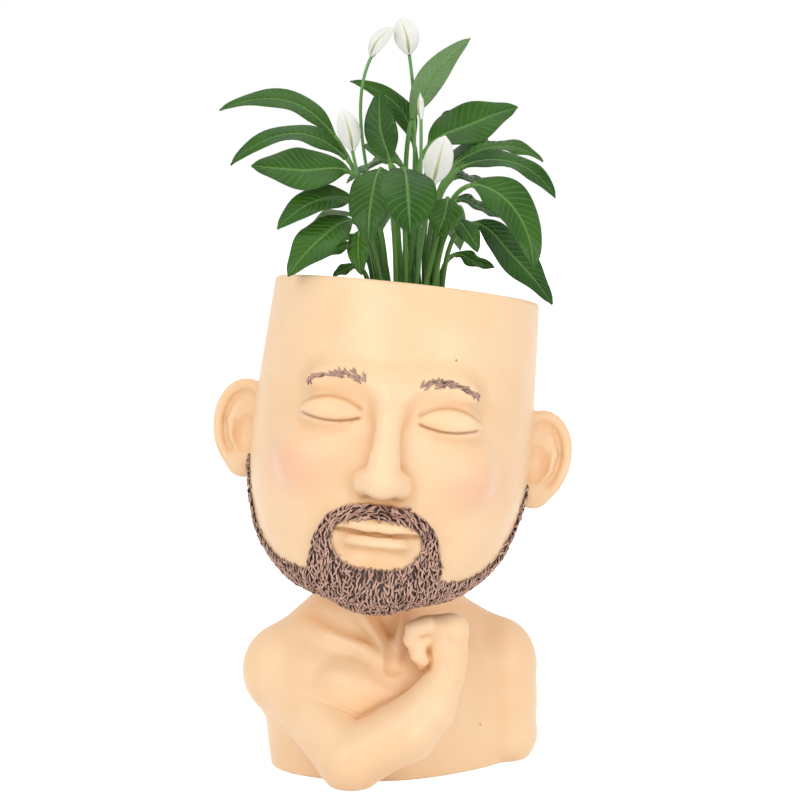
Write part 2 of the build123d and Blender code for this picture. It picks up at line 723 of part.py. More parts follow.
def nursery_pot():
    """Tapered pot with a foot ring, drain holes and a rolled lip."""
    bottom_z = head_height - bowl_depth + seat_gap
    top_z = bottom_z + pot_height
    bottom = (Align.CENTER, Align.CENTER, Align.MIN)
    foot = pot_radius(bottom_z) - pot_foot_inset
    ring = Cylinder(foot, pot_foot_height + pot_wall, align=bottom)
    ring = ring - Cylinder(foot - pot_wall * 2, pot_foot_height, align=bottom)
    notch = Box(foot * 3, pot_notch_width, pot_foot_height, align=bottom)
    for turn in PolarLocations(0, pot_notch_count, angular_range=2 * quarter_turn):
        ring = ring - turn * notch
    outside = Cone(pot_radius(pot_floor_z), pot_radius(top_z), top_z - pot_floor_z, align=bottom)
    inside = Cone(
        pot_radius(pot_floor_z) - pot_wall,
        pot_radius(top_z) - pot_wall,
        top_z - pot_floor_z,
        align=bottom,
    )
    lip = Pos(0, 0, top_z - pot_floor_z - pot_lip_height) * Cylinder(
        pot_radius(top_z) + pot_lip_proud, pot_lip_height, align=bottom
    )
    body = outside + lip - Pos(0, 0, pot_wall) * inside
    hole = Cylinder(pot_hole_radius, pot_wall * 6, align=(Align.CENTER,) * 3)
    holes = PolarLocations(pot_radius(pot_floor_z) * pot_hole_ring_share, pot_hole_count)
    body = Pos(0, 0, pot_floor_z) * body + Pos(0, 0, bottom_z) * ring
    body = body - [Pos(0, 0, pot_floor_z) * (spot * hole) for spot in holes]
    return head_place * body


def drain_plug():
    """Rubber plug with a flat head, pushed up into the drain from below."""
    bottom = (Align.CENTER, Align.CENTER, Align.MIN)
    low = plug_recess_depth - plug_head_height - seat_gap
    head = Cylinder(plug_head_radius, plug_head_height, align=bottom)
    tapered = Cylinder(drain_radius - plug_clearance, plug_length + seat_gap, align=bottom)
    plug = head + Pos(0, 0, plug_head_height) * tapered
    top_edge = plug.edges().sort_by(Axis.Z)[-1]
    plug = chamfer(top_edge, plug_chamfer)
    return Pos(drain_x, drain_y, low) * plug


def save(shape, name):
    export_step(shape, f"parts/{name}.step")


save(head_shell(), "head_shell")
save(bust(), "bust_base")
save(drain_plug(), "drain_plug")
save(nursery_pot(), "nursery_pot")
save(soil(), "soil")
for number, row in enumerate(leaf_shares, start=1):
    save(leaf(row), f"leaf_{number:02d}")
for number, row in enumerate([*flower_shares, bud_shares], start=1):
    stalk, spathe, spadix = flower(row, bud=row is bud_shares)
    save(stalk, f"flower_{number}_stalk")
    save(spathe, f"flower_{number}_spathe")
    if spadix:
        save(spadix, f"flower_{number}_spadix")
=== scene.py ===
import math
import bpy
import numpy as np
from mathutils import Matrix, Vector


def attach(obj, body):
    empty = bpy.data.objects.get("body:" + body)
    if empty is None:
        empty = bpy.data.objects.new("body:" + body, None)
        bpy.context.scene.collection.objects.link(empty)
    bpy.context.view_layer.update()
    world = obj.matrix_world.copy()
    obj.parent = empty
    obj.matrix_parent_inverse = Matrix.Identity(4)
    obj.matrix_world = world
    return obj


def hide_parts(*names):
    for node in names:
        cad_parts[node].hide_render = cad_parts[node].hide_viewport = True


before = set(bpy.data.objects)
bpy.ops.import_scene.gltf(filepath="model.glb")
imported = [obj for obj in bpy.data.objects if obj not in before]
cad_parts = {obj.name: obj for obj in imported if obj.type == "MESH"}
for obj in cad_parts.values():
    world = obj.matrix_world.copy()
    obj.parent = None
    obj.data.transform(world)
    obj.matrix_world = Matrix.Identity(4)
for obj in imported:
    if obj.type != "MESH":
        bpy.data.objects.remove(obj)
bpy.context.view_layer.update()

# Forms are worked out in millimetres and handed to Blender in metres.
MM = 0.001
skin_step = 0.9
rng = np.random.default_rng(7215)

# The head: its own axis runs from the chin, z = 0, up to the rim, and it looks along -Y.
head_height = 144.0
head_width = 132.0
face_depth = 69.0
nape_depth = 69.0
head_spot = np.array([-12.0, 0.0, 80.0])
head_turn, head_tilt_side, head_tilt_back = -2.0, 6.0, -7.0
half_head = head_width / 2
wall = 7.0
bowl_depth = 108.0
bowl_draft = 9.0
rim_rounding = 1.3
glue_gap = 0.15

# Height, half width, front, back and widest place, as shares of the five sizes above.
head_section_shares = [
    (0.000, 0.30, 0.85, -0.50, -0.68),
    (0.035, 0.52, 0.94, -0.20, -0.55),
    (0.085, 0.69, 0.985, 0.20, -0.32),
    (0.155, 0.83, 1.00, 0.60, -0.12),
    (0.250, 0.92, 1.00, 0.81, 0.00),
    (0.375, 0.98, 1.00, 0.93, 0.06),
    (0.530, 1.00, 0.99, 0.99, 0.07),
    (0.700, 0.985, 0.97, 1.00, 0.07),
    (0.860, 0.965, 0.955, 0.975, 0.05),
    (1.000, 0.945, 0.92, 0.945, 0.03),
]
rim_share = head_section_shares[-1][1]

# Face heights by thirds: the rim is the hairline, then brow, nose base and chin.
third = head_height / 3
brow_z = 2 * third
nose_base_z = third
eye_z = 1.75 * third
mouth_z = third * 2 / 3
eye_width = head_width / 5
nose_width = 26.0
mouth_width = 38.0

# Where the face, the beard and the ears are looked for on the head.
face_back, face_side, face_top = -30, 56, 116
beard_back, beard_top, beard_radius = 14, 68, 40
ear_middle, ear_span, ear_low, ear_top = 5, 36, 34, 108

# Ears.
ear_height = 43.0
ear_reach = 24.0
ear_sweep = 28.0

# Shoulders, neck and drain.
torso_width = 112.0
torso_depth = 74.0
torso_height = 66.0
torso_turn = 9.0
neck_radius = 23.0
neck_x, neck_y = -4.0, 6.0
joint_z = 93.0
spigot_radius = 18.0
spigot_length = 9.0
drain_radius = 6.0
drain_x, drain_y = -4.0, 13.0
plug_head_radius = 8.6
plug_recess_depth = 3.4
plug_recess_clearance = 0.6
torso_section_shares = [
    (0.00, 1.00, 1.06, -0.02, 0.08),
    (0.30, 1.04, 1.08, -0.02, 0.07),
    (0.58, 1.05, 1.04, -0.04, 0.06),
    (0.80, 1.02, 0.90, -0.05, 0.08),
    (1.00, 0.88, 0.68, -0.05, 0.14),
    (1.18, 0.60, 0.58, -0.06, 0.18),
    (1.32, 0.42, 0.58, -0.07, 0.18),
]

# The plant grows from the middle of the soil.
pot_height = 98.0
soil_below_lip = 11.0
seat_gap = 0.1
plant_reach = 85.0
plant_height = 150.0
root_depth = 6.0
crown_radius = 17.0
stem_width = 2.4
stem_rise = 3.0
leaf_thickness = 0.9
stalk_width = 1.7
spathe_thickness = 0.7
spadix_radius = 1.5
spadix_length = 11.0
pot_foot, pot_floor, pot_wall_at_soil = 3.0, 1.4, 3.2
soil_crumbs = 520
stem_rings, blade_rows, stalk_rings, petal_rows = 24, 56, 40, 40


def turned(axis, degrees):
    """Rotation matrix about one axis."""
    c, s = math.cos(math.radians(degrees)), math.sin(math.radians(degrees))
    if axis == "x":
        return np.array([[1, 0, 0], [0, c, -s], [0, s, c]])
    if axis == "y":
        return np.array([[c, 0, s], [0, 1, 0], [-s, 0, c]])
    return np.array([[c, -s, 0], [s, c, 0], [0, 0, 1]])


head_turning = turned("z", head_turn) @ turned("y", head_tilt_side) @ turned("x", head_tilt_back)
torso_turning = turned("z", torso_turn)


def to_row(points):
    """From the head's frame to the figure's."""
    return points @ head_turning.T + head_spot


# Solid fields: negative inside, about the distance in millimetres near a surface.


def blend_min(a, b, soft):
    h = np.clip(0.5 + 0.5 * (b - a) / soft, 0, 1)
    return b * (1 - h) + a * h - soft * h * (1 - h)


def blend_max(a, b, soft):
    return -blend_min(-a, -b, soft)


def ball(p, middle, radii):
    """Ellipsoid, or a sphere where radii is one number."""
    q = p - np.asarray(middle, p.dtype)
    if np.isscalar(radii):
        return np.sqrt((q * q).sum(1)) - radii
    r = np.asarray(radii, p.dtype)
    near = np.sqrt(((q / r) ** 2).sum(1))
    slope = np.sqrt(((q / (r * r)) ** 2).sum(1))
    return near * (near - 1) / np.maximum(slope, 1e-6)


def rod(p, a, b, ra, rb=None):
    """Round rod from a to b whose radius runs from ra to rb."""
    rb = ra if rb is None else rb
    a, b = np.asarray(a, p.dtype), np.asarray(b, p.dtype)
    along = b - a
    t = np.clip((p - a) @ along / (along @ along), 0, 1)
    q = p - a - t[:, None] * along
    return np.sqrt((q * q).sum(1)) - (ra + (rb - ra) * t)


def chain(p, points, radii, soft=0.5):
    """Rods through points in turn."""
    made = None
    for a, b, ra, rb in zip(points, points[1:], radii, radii[1:]):
        one = rod(p, a, b, ra, rb)
        made = one if made is None else blend_min(made, one, soft)
    return made


def turned_ball(p, middle, radii, turning):
    """Ellipsoid turned by a matrix about its middle."""
    q = (p - np.asarray(middle, p.dtype)) @ turning.astype(p.dtype)
    return ball(q, (0, 0, 0), radii)


def shaped(f, p, forms, origin=(0, 0, 0)):
    """A field with forms joined to it, or cut from it, in turn.

    A form is its name, "add" or "cut", how softly, then the middle and radii of an
    ellipsoid and perhaps its turning, or the points and radii of a chain and perhaps
    how softly its rods join.
    """
    for _, way, soft, place, radii, *more in forms:
        if isinstance(place, list):
            form = chain(p, [np.add(point, origin) for point in place], radii, *more)
        elif more:
            form = turned_ball(p, np.add(place, origin), radii, *more)
        else:
            form = ball(p, np.add(place, origin), radii)
        if f is None:
            f = form
        elif way == "add":
            f = blend_min(f, form, soft)
        else:
            f = blend_max(f, -form, soft)
    return f


def smooth_rows(rows, low, high, step=0.5):
    """Fine table through the rows by a cubic whose slopes follow the neighbours."""
    rows = np.array(rows)
    z = rows[:, 0]
    fine = np.arange(low, high, step)
    table = [fine]
    for values in rows[:, 1:].T:
        slopes = np.gradient(values, z)
        k = np.clip(np.searchsorted(z, fine) - 1, 0, len(z) - 2)
        span = z[k + 1] - z[k]
        t = np.clip((fine - z[k]) / span, 0, 1)
        made = values[k] * (2 * t**3 - 3 * t**2 + 1) + values[k + 1] * (3 * t**2 - 2 * t**3)
        made = made + span * (slopes[k] * (t**3 - 2 * t**2 + t) + slopes[k + 1] * (t**3 - t**2))
        table.append(made)
    return table


head_table = smooth_rows(
    [
        (z * head_height, w * half_head, -f * face_depth, b * nape_depth, m * nape_depth)
        for z, w, f, b, m in head_section_shares
    ],
    -2.0,
    head_height + 4,
)
torso_table = smooth_rows(
    [
        (
            z * torso_height,
            w * torso_width / 2,
            -d * torso_depth / 2,
            d * torso_depth / 2,
            x * torso_width / 2,
            y * torso_depth / 2,
        )
        for z, w, d, x, y in torso_section_shares
    ],
    -4.0,
    torso_height * 1.33,
)


def ovals(x, y, half, front, back, widest):
    """Oval outline on each level, from its half width and where it crosses the Y axis."""
    v = y - widest
    deep = np.where(v < 0, widest - front, back - widest)
    near = np.sqrt((x / half) ** 2 + (v / deep) ** 2)
    slope = np.sqrt((x / half**2) ** 2 + (v / deep**2) ** 2)
    return near * (near - 1) / np.maximum(slope, 1e-6)


def inside_outline(u, v, outline):
    """Signed distance to a closed outline on a plane, negative inside."""
    points = np.array(outline)
    nearest = np.full(len(u), 1e9)
    crossings = np.zeros(len(u), int)
    for (ax, ay), (bx, by) in zip(points, np.roll(points, -1, 0)):
        dx, dy = bx - ax, by - ay
        t = np.clip(((u - ax) * dx + (v - ay) * dy) / (dx * dx + dy * dy), 0, 1)
        nearest = np.minimum(nearest, np.hypot(u - ax - t * dx, v - ay - t * dy))
        crosses = (ay > v) != (by > v)
        reach = ax + (v - ay) / (dy if dy else 1e-9) * dx
        crossings = crossings + (crosses & (u < reach))
    return np.where(crossings % 2 == 1, -nearest, nearest)


def rounded(outline, rounds=2):
    """The outline with its corners cut off again and again, towards a smooth curve."""
    points = np.array(outline, float)
    for _ in range(rounds):
        after = np.roll(points, -1, axis=0)
        pairs = [points * 0.75 + after * 0.25, points * 0.25 + after * 0.75]
        points = np.stack(pairs, 1).reshape(-1, 2)
    return points


half_mouth = mouth_width / 2
patch_outline = [
    (0, nose_base_z - third * 0.06),
    (half_mouth * 0.76, nose_base_z - third * 0.08),
    (half_mouth * 1.30, mouth_z + third * 0.10),
    (half_mouth * 1.50, mouth_z - third * 0.10),
    (half_mouth * 1.58, third * 0.26),
    (half_mouth * 1.90, -third * 0.12),
    (half_mouth * 1.60, -third * 0.40),
    (-half_mouth, -third * 0.40),
    (-half_mouth, nose_base_z - third * 0.06),
]
window_outline = [
    (-half_mouth, mouth_z + third * 0.13),
    (half_mouth * 0.62, mouth_z + third * 0.13),
    (half_mouth * 1.02, mouth_z + third * 0.02),
    (half_mouth * 1.08, mouth_z - third * 0.12),
    (half_mouth * 0.82, mouth_z - third * 0.28),
    (half_mouth * 0.40, mouth_z - third * 0.33),
    (-half_mouth, mouth_z - third * 0.34),
]
strap_outline = [
    (-face_depth * 1.05, -third * 0.14),
    (-face_depth * 0.55, -third * 0.08),
    (-face_depth * 0.24, third * 0.22),
    (face_depth * 0.05, third * 0.84),
    (face_depth * 0.06, third * 1.24),
    (-face_depth * 0.01, third * 1.24),
    (-face_depth * 0.08, third * 0.92),
    (-face_depth * 0.34, third * 0.46),
    (-face_depth * 0.68, third * 0.26),
    (-face_depth * 1.05, third * 0.28),
]


def beard_depth(p):
    """How far inside the bearded skin a point of the head lies, in millimetres."""
    x = np.abs(p[:, 0])
    front = -inside_outline(x, p[:, 2], rounded(patch_outline))
    bare = -inside_outline(x, p[:, 2], rounded(window_outline))
    jaw = -inside_outline(p[:, 1], p[:, 2], rounded(strap_outline))
    front = np.minimum(front, -p[:, 1] - face_depth * 0.30)
    jaw = np.where(x > half_head * 0.30, jaw, -9)
    return np.maximum(np.minimum(front, -bare), jaw)


# The ear's rim, as an arc from the lobe over the top and back into the head.
helix_turn = np.linspace(-2.05, 2.75, 22)
helix_across = ear_reach * (0.30 + 0.60 * np.cos(helix_turn)) * (1.0 + 0.06 * np.sin(helix_turn))
helix_across = np.where(helix_turn < -1.2, helix_across * 0.9, helix_across)
helix_up = ear_height * (0.53 + 0.46 * np.sin(helix_turn))
helix_edge = [
    (across, up, 1.4 * max(0, math.cos(turn)))
    for across, up, turn in zip(helix_across, helix_up, helix_turn)
]
helix_radii = np.interp(helix_turn, [-2.05, -1, 1.4, 2.75], [2.0, 2.4, 2.9, 2.0])
fold_line = [
    (ear_reach * 0.34, ear_height * 0.26, 0.8),
    (ear_reach * 0.52, ear_height * 0.40, 1.2),
    (ear_reach * 0.60, ear_height * 0.58, 1.2),
    (ear_reach * 0.50, ear_height * 0.76, 0.6),
]
plate_size = (ear_reach * 0.60, ear_height * 0.45, 3.0)
lobe_size = (ear_reach * 0.36, ear_height * 0.15, 3.4)
ear_bowl_size = (ear_reach * 0.25, ear_height * 0.20, 4.4)
ear_forms = [
    ("plate", "add", 0, (ear_reach * 0.32, ear_height * 0.54, -1.2), plate_size),
    ("lobe", "add", 3.0, (ear_reach * 0.26, ear_height * 0.11, 0.2), lobe_size),
    ("helix", "add", 1.6, helix_edge, helix_radii, 0.05),
    ("inner fold", "add", 1.6, fold_line, [1.8, 2.0, 2.0, 1.4], 1.0),
    ("ear bowl", "cut", 1.6, (ear_reach * 0.24, ear_height * 0.46, 2.6), ear_bowl_size),
    ("tragus", "add", 1.4, (ear_reach * 0.02, ear_height * 0.44, 2.2), (2.8, 3.8, 2.4)),
]


def ear_field(q):
    """The right ear, in its own frame: u outward, v up and w forward, from its lower root."""
    return shaped(None, q, ear_forms)


def may_be_bearded(p):
    """Whether points of the head's surface lie low enough, and outside its bowl."""
    return (p[:, 2] < beard_top) & (np.hypot(p[:, 0], p[:, 1]) > beard_radius)


def ear_frame(q):
    """Points on the |x| side of the head, in the ear's frame."""
    c, s = math.cos(math.radians(ear_sweep)), math.sin(math.radians(ear_sweep))
    x = q[:, 0] - half_head * 0.965
    y = q[:, 1] - nape_depth * 0.10
    out = x * c + y * s
    back = -x * s + y * c
    return np.stack([out, q[:, 2] - third * 1.03, -back], 1)


def lid_lines(x):
    """Place across an eye, -1 to 1 between its corners, and where its lids meet and fold."""
    dx = (x - eye_width) / (eye_width * 0.5)
    return dx, eye_z - 4.4 + 2.4 * dx**2, eye_z + 6.6 - 4.6 * dx**2


# The face's forms on one side, as X is never negative there; they blend over the middle.
front = -face_depth
nose_line = [
    (0, front + 2.5, brow_z - 2),
    (0, front - 2.5, eye_z),
    (0, front - 9.5, nose_base_z + 16),
    (0, front - 13.0, nose_base_z + 7.5),
]
seam_line = [
    (0, front - 6.6, mouth_z - 0.2),
    (8, front - 6.0, mouth_z + 0.3),
    (15, front - 3.2, mouth_z + 0.5),
    (half_mouth, front - 0.5, mouth_z + 0.8),
]
face_forms = [
    ("brow", "add", 11, (eye_width * 0.76, front + 7.5, brow_z + 1), (18, 7.5, 6.5)),
    ("between the brows", "add", 8, (0, front + 5, brow_z - 2), (11, 7.5, 8)),
    ("cheek", "add", 10, (eye_width * 1.18, front + 19, third * 1.28), (17, 13, 14)),
    ("socket", "cut", 7, (eye_width, front - 3, eye_z + 2.0), (16, 7.5, 9.5)),
    ("lids", "add", 3.0, (eye_width, front + 13.0, eye_z - 0.5), (14.6, 12.0, 9.6)),
    ("nose bridge", "add", 6, nose_line, [6.0, 5.4, 6.2, 7.0], 3),
    ("nose tip", "add", 4, (0, front - 13.4, nose_base_z + 6.8), (7.4, 6.6, 6.4)),
    ("nose wing", "add", 5.5, (nose_width * 0.31, front - 4.6, nose_base_z + 6.0), (5.0, 8.8, 6.0)),
    ("nostril", "cut", 1.6, (4.9, front - 8.8, nose_base_z - 0.8), (2.5, 4.0, 2.4)),
    ("muzzle", "add", 9, (0, front + 6, mouth_z + 1), (22, 8.5, 13)),
]
upper_lip_forms = [
    ("upper lip", "add", 0, (4.6, front - 3.0, mouth_z + 3.2), (9.0, 6.2, 3.9)),
    ("mouth corner", "add", 3, (12.0, front + 0.4, mouth_z + 1.6), (7.6, 5.0, 2.6)),
]
chin_forms = [
    ("lower lip", "add", 4, (0, front - 2.0, mouth_z - 3.8), (14.0, 6.4, 4.6)),
    ("lip seam", "cut", 1.3, seam_line, [0.9, 0.9, 0.9, 0.8]),
    ("under the lip", "cut", 5, (0, front - 3.5, mouth_z - 10.5), (12, 4.0, 3.4)),
    ("chin", "add", 9, (0, front + 10, third * 0.20), (17, 11, 11)),
]


def face_field(f, q):
    """Adds the face to the plain head; q is mirrored, so that its x is never negative."""
    f = shaped(f, q, face_forms)
    f = blend_min(f, shaped(None, q, upper_lip_forms), 1.8)
    f = shaped(f, q, chin_forms)
    # Closed lids: the upper one stands proud from the line where they meet up to its fold.
    x, y, z = q[:, 0], q[:, 1], q[:, 2]
    dx, meet, fold_z = lid_lines(x)
    far = np.maximum(np.abs(dx) - 1.0, 0) * eye_width * 0.5
    line = 0.55 * np.exp(-((np.hypot(z - meet, far) / 0.8) ** 2))
    fold = 0.75 * np.exp(-((np.hypot(z - fold_z, far) / 1.1) ** 2))
    proud = np.clip((z - meet) / 0.7 + 0.5, 0, 1) * np.clip((fold_z - z) / 2.4 + 0.5, 0, 1)
    proud = proud * np.clip((1.12 - np.abs(dx)) / 0.25, 0, 1)
    facing = y < -face_depth * 0.55
    return f + np.where(facing, line + fold - 0.9 * proud, 0)


def head_field(p):
    """The whole head casting, in its own frame."""
    z = p[:, 2]
    half, front, back, widest = (np.interp(z, head_table[0], row) for row in head_table[1:])
    f = ovals(p[:, 0], p[:, 1], half, front, back, widest)
    f = blend_max(f, -z, 7)
    q = p.copy()
    q[:, 0] = np.abs(q[:, 0])
    face = (q[:, 1] < face_back) & (q[:, 0] < face_side) & (z < face_top)
    f[face] = face_field(f[face], q[face])
    at = (q[:, 0] > half_head * 0.62) & (np.abs(q[:, 1] - ear_middle) < ear_span)
    at = at & (z > ear_low) & (z < ear_top)
    f[at] = blend_min(f[at], ear_field(ear_frame(q[at])), 2.2)
    depth_zone = (q[:, 1] < beard_back) & (z < beard_top)
    inside = beard_depth(p[depth_zone])
    f[depth_zone] -= 1.1 * np.clip(inside / 2.0 + 0.3, 0, 1)
    # Rim, bowl and what passes through the floor.
    f = blend_max(f, z - head_height, rim_rounding * 1.4)
    floor_z = head_height - bowl_depth
    floor_radius = half_head * rim_share - wall - bowl_draft
    bowl_radius = floor_radius + bowl_draft * (z - floor_z) / bowl_depth
    bowl = np.hypot(p[:, 0], p[:, 1]) - bowl_radius
    bowl = blend_max(bowl, floor_z - z, 6)
    f = blend_max(f, -bowl, rim_rounding * 1.4)
    low = z < 40
    row = to_row(p[low].astype(float)).astype(p.dtype)
    cut = bust_field(row) - glue_gap
    f[low] = blend_max(f[low], -cut, 0.3)
    hole = np.hypot(row[:, 0] - drain_x, row[:, 1] - drain_y) - drain_radius
    f[low] = blend_max(f[low], -hole, 0.6)
    return f


# Landmarks of the bust, in its own frame.
shoulder_right = (-torso_width * 0.475, -torso_depth * 0.02, torso_height * 0.62)
elbow = (-torso_width * 0.20, -torso_depth * 0.61, torso_height * 0.19)
forearm = (torso_width * 0.03, -torso_depth * 0.61, torso_height * 0.40)
wrist = (torso_width * 0.19, -torso_depth * 0.56, torso_height * 0.77)
shoulder_left = (torso_width * 0.42, torso_depth * 0.10, torso_height * 0.66)
arm_foot = (torso_width * 0.432, torso_depth * 0.11, torso_height * 0.18)
forearm_bend = (torso_width * 0.12, -torso_depth * 0.60, torso_height * 0.55)
far_arm_middle = (46.5, 7, 30)

# Loosely closed hand held before the throat, its back to the front, from the wrist.
finger_radii = [4.3, 4.0, 3.7, 3.3]
fingers = [
    [(-9, -2.5, 23.5), (-14.8, -3.0, 22.0), (-16.0, -2.0, 17.0), (-13.6, -1.0, 12.5)],
    [(-8, 1.0, 17.5), (-13.0, -1.0, 14.5), (-12.8, -2.5, 10.0), (-10.8, -2.0, 7.6)],
    [(-7, 5.0, 20.0), (-13.0, 5.0, 17.5), (-13.6, 4.5, 10.5), (-10.0, 5.0, 4.0)],
]
dimple = [(-3.0, -9.6, 26.0), (-2.8, -9.4, 22.0), (-0.4, -9.0, 18.6), (3.6, -8.2, 16.6)]
hand_forms = [
    ("back of the hand", "add", 0, (0.5, 1.5, 10), (9.2, 8.5, 16)),
    ("knuckles", "add", 4, (1.8, 0.5, 21), (8.2, 8.0, 7.4)),
    ("finger roots", "add", 3, (-7.5, 1.5, 22.5), (8.4, 6.5, 5.0)),
    *[("finger", "add", 1.1, finger, finger_radii, 1.2) for finger in fingers],
    ("dimple", "cut", 2, dimple, [1.0, 1.6, 1.6, 0.9]),
]

# The forms of the bust over its plain torso and neck, in the figure's frame.
torso_shift, torso_spread = 2.2, 1.6
rib_slope_x, rib_slope_y, rib_reach, rib_softness = 0.62, -0.78, 38.5, 14
near_slope = [(-18, 10, 84), (-40, 8, 63.5), (-54, 4, 53)]
far_slope = [(10, 10, 83), (24, 9, 65), (40, 9, 58.5), (49, 8, 53)]
over_chest = [(-2, -39, 46), (-14, -39.5, 54.5), (-27, -36.5, 57.5), (-37, -33.5, 56)]
collar_bone = [(-4, -30, 53), (-17, -27.5, 60), (-33, -20, 64.5), (-48, -7, 65)]
over_collar = [(-12, -28, 67), (-27, -22, 71), (-40, -12, 75)]
near_cord = [(-26, -7, 90), (-16, -18.5, 73), (-4, -28.5, 57)]
beside_cord = [(-19, -18, 86), (-9, -26, 71), (-2, -31, 60)]
far_cord = [(9, -10, 90), (4, -18.5, 76), (-1, -26.5, 60)]
throat = [(-3, -29, 76), (-3.4, -31, 64), (-3, -34, 53)]
rib_valley = [(36, -29, 68), (38, -25.5, 50), (38.5, -25, 36), (39, -29, 12)]
bust_forms = [
    ("near slope", "add", 8, near_slope, [10.5, 10.5, 9]),
    ("far slope", "add", 7, far_slope, [10.5, 10.5, 10, 9]),
    ("chest", "add", 2.5, (-21, -27.5, 41.5), (19.5, 12.5, 14.5), turned("y", 13)),
    ("crease over the chest", "cut", 4, over_chest, [2.6, 2.2, 2.0, 1.2]),
    ("breastbone", "cut", 3.5, [(-2.6, -41, 50), (-0.6, -43, 31)], [3.4, 3.0]),
    ("hollow behind the arm", "cut", 3, (6, -42, 47), (9, 8.5, 10)),
    ("collar bone", "add", 5, collar_bone, [2.6, 3.4, 3.2, 3.0]),
    ("over the collar bone", "cut", 4, over_collar, [2.6, 3.0, 2.4]),
    ("near neck cord", "add", 4, near_cord, [4.8, 4.2, 2.8]),
    ("groove beside the cord", "cut", 3, beside_cord, [2.4, 2.4, 1.8]),
    ("far neck cord", "add", 4, far_cord, [4.4, 3.8, 2.6]),
    ("throat", "cut", 3, throat, [2.0, 2.6, 3.6]),
    ("far shoulder", "add", 4, (46, 7, 46), (18.6, 18, 21.5), turned("y", 4)),
    ("far arm", "add", 2.5, [shoulder_left, far_arm_middle, arm_foot], [17.4, 17.2, 17.2], 6),
    ("near shoulder", "add", 4, (-53, -1, 44), (21.3, 20, 22.5), turned("y", -6)),
    ("near upper arm", "add", 1.6, [shoulder_right, elbow], [17.0, 14.8]),
    ("valley by the far arm", "cut", 6, rib_valley, [7.0, 8.0, 8.0, 6.5]),
    ("forearm", "add", 1.8, [elbow, forearm, forearm_bend, wrist], [14.8, 13.4, 10.8, 8.6], 6),
]


def bust_field(p):
    """Shoulders, arms, hand and neck with its spigot, in the figure's frame."""
    q = p @ torso_turning.astype(p.dtype)
    z = q[:, 2]
    half, front, back, sx, sy = (np.interp(z, torso_table[0], row) for row in torso_table[1:])
    x, y = q[:, 0] - sx + torso_shift, q[:, 1] - sy
    f = ovals(x, y, half + torso_spread, front, back, np.zeros_like(z))
    f = blend_max(f, z - torso_height * 1.31, 3)
    # The ribs fall back to the far arm.
    ribs = p[:, 0] * rib_slope_x + p[:, 1] * rib_slope_y - rib_reach
    f = blend_max(f, ribs, rib_softness)
    from_neck = np.hypot(p[:, 0] - neck_x, p[:, 1] - neck_y)
    column = blend_max(from_neck - neck_radius, torso_height * 0.7 - p[:, 2], 2)
    f = blend_min(f, column, 7)
    f = shaped(f, p, bust_forms)
    f = blend_min(f, shaped(None, p, hand_forms, wrist), 1.8)
    # Flat underside, joint face and spigot, and the drain with its recess.
    f = blend_max(f, p[:, 2] - joint_z, 0.3)
    peg = blend_max(from_neck - spigot_radius, p[:, 2] - joint_z - spigot_length, 0.5)
    peg = blend_max(peg, joint_z - spigot_length - p[:, 2], 0.5)
    f = np.minimum(f, peg)
    f = blend_max(f, -p[:, 2], 1.2)
    away = np.hypot(p[:, 0] - drain_x, p[:, 1] - drain_y)
    f = blend_max(f, -(away - drain_radius), 0.4)
    recess_radius = plug_head_radius + plug_recess_clearance
    recess = blend_max(away - recess_radius, p[:, 2] - plug_recess_depth, 0.3)
    return blend_max(f, -recess, 0.4)


def unit(vectors):
    """Vectors at length 1."""
    return vectors / np.maximum(np.linalg.norm(vectors, axis=-1, keepdims=True), 1e-9)


def in_chunks(field, points, chunk=300000):
    """A field's values at many points, a chunk at a time."""
    parts = [field(points[k : k + chunk]) for k in range(0, len(points), chunk)]
    return np.concatenate(parts) if parts else np.zeros(0, np.float32)


corners = [(i, j, k) for i in (0, 1) for j in (0, 1) for k in (0, 1)]


def part_of(grid, corner, size):
    """The part of a grid that starts at a corner and has the size asked for."""
    return grid[tuple(slice(start, start + count) for start, count in zip(corner, size))]


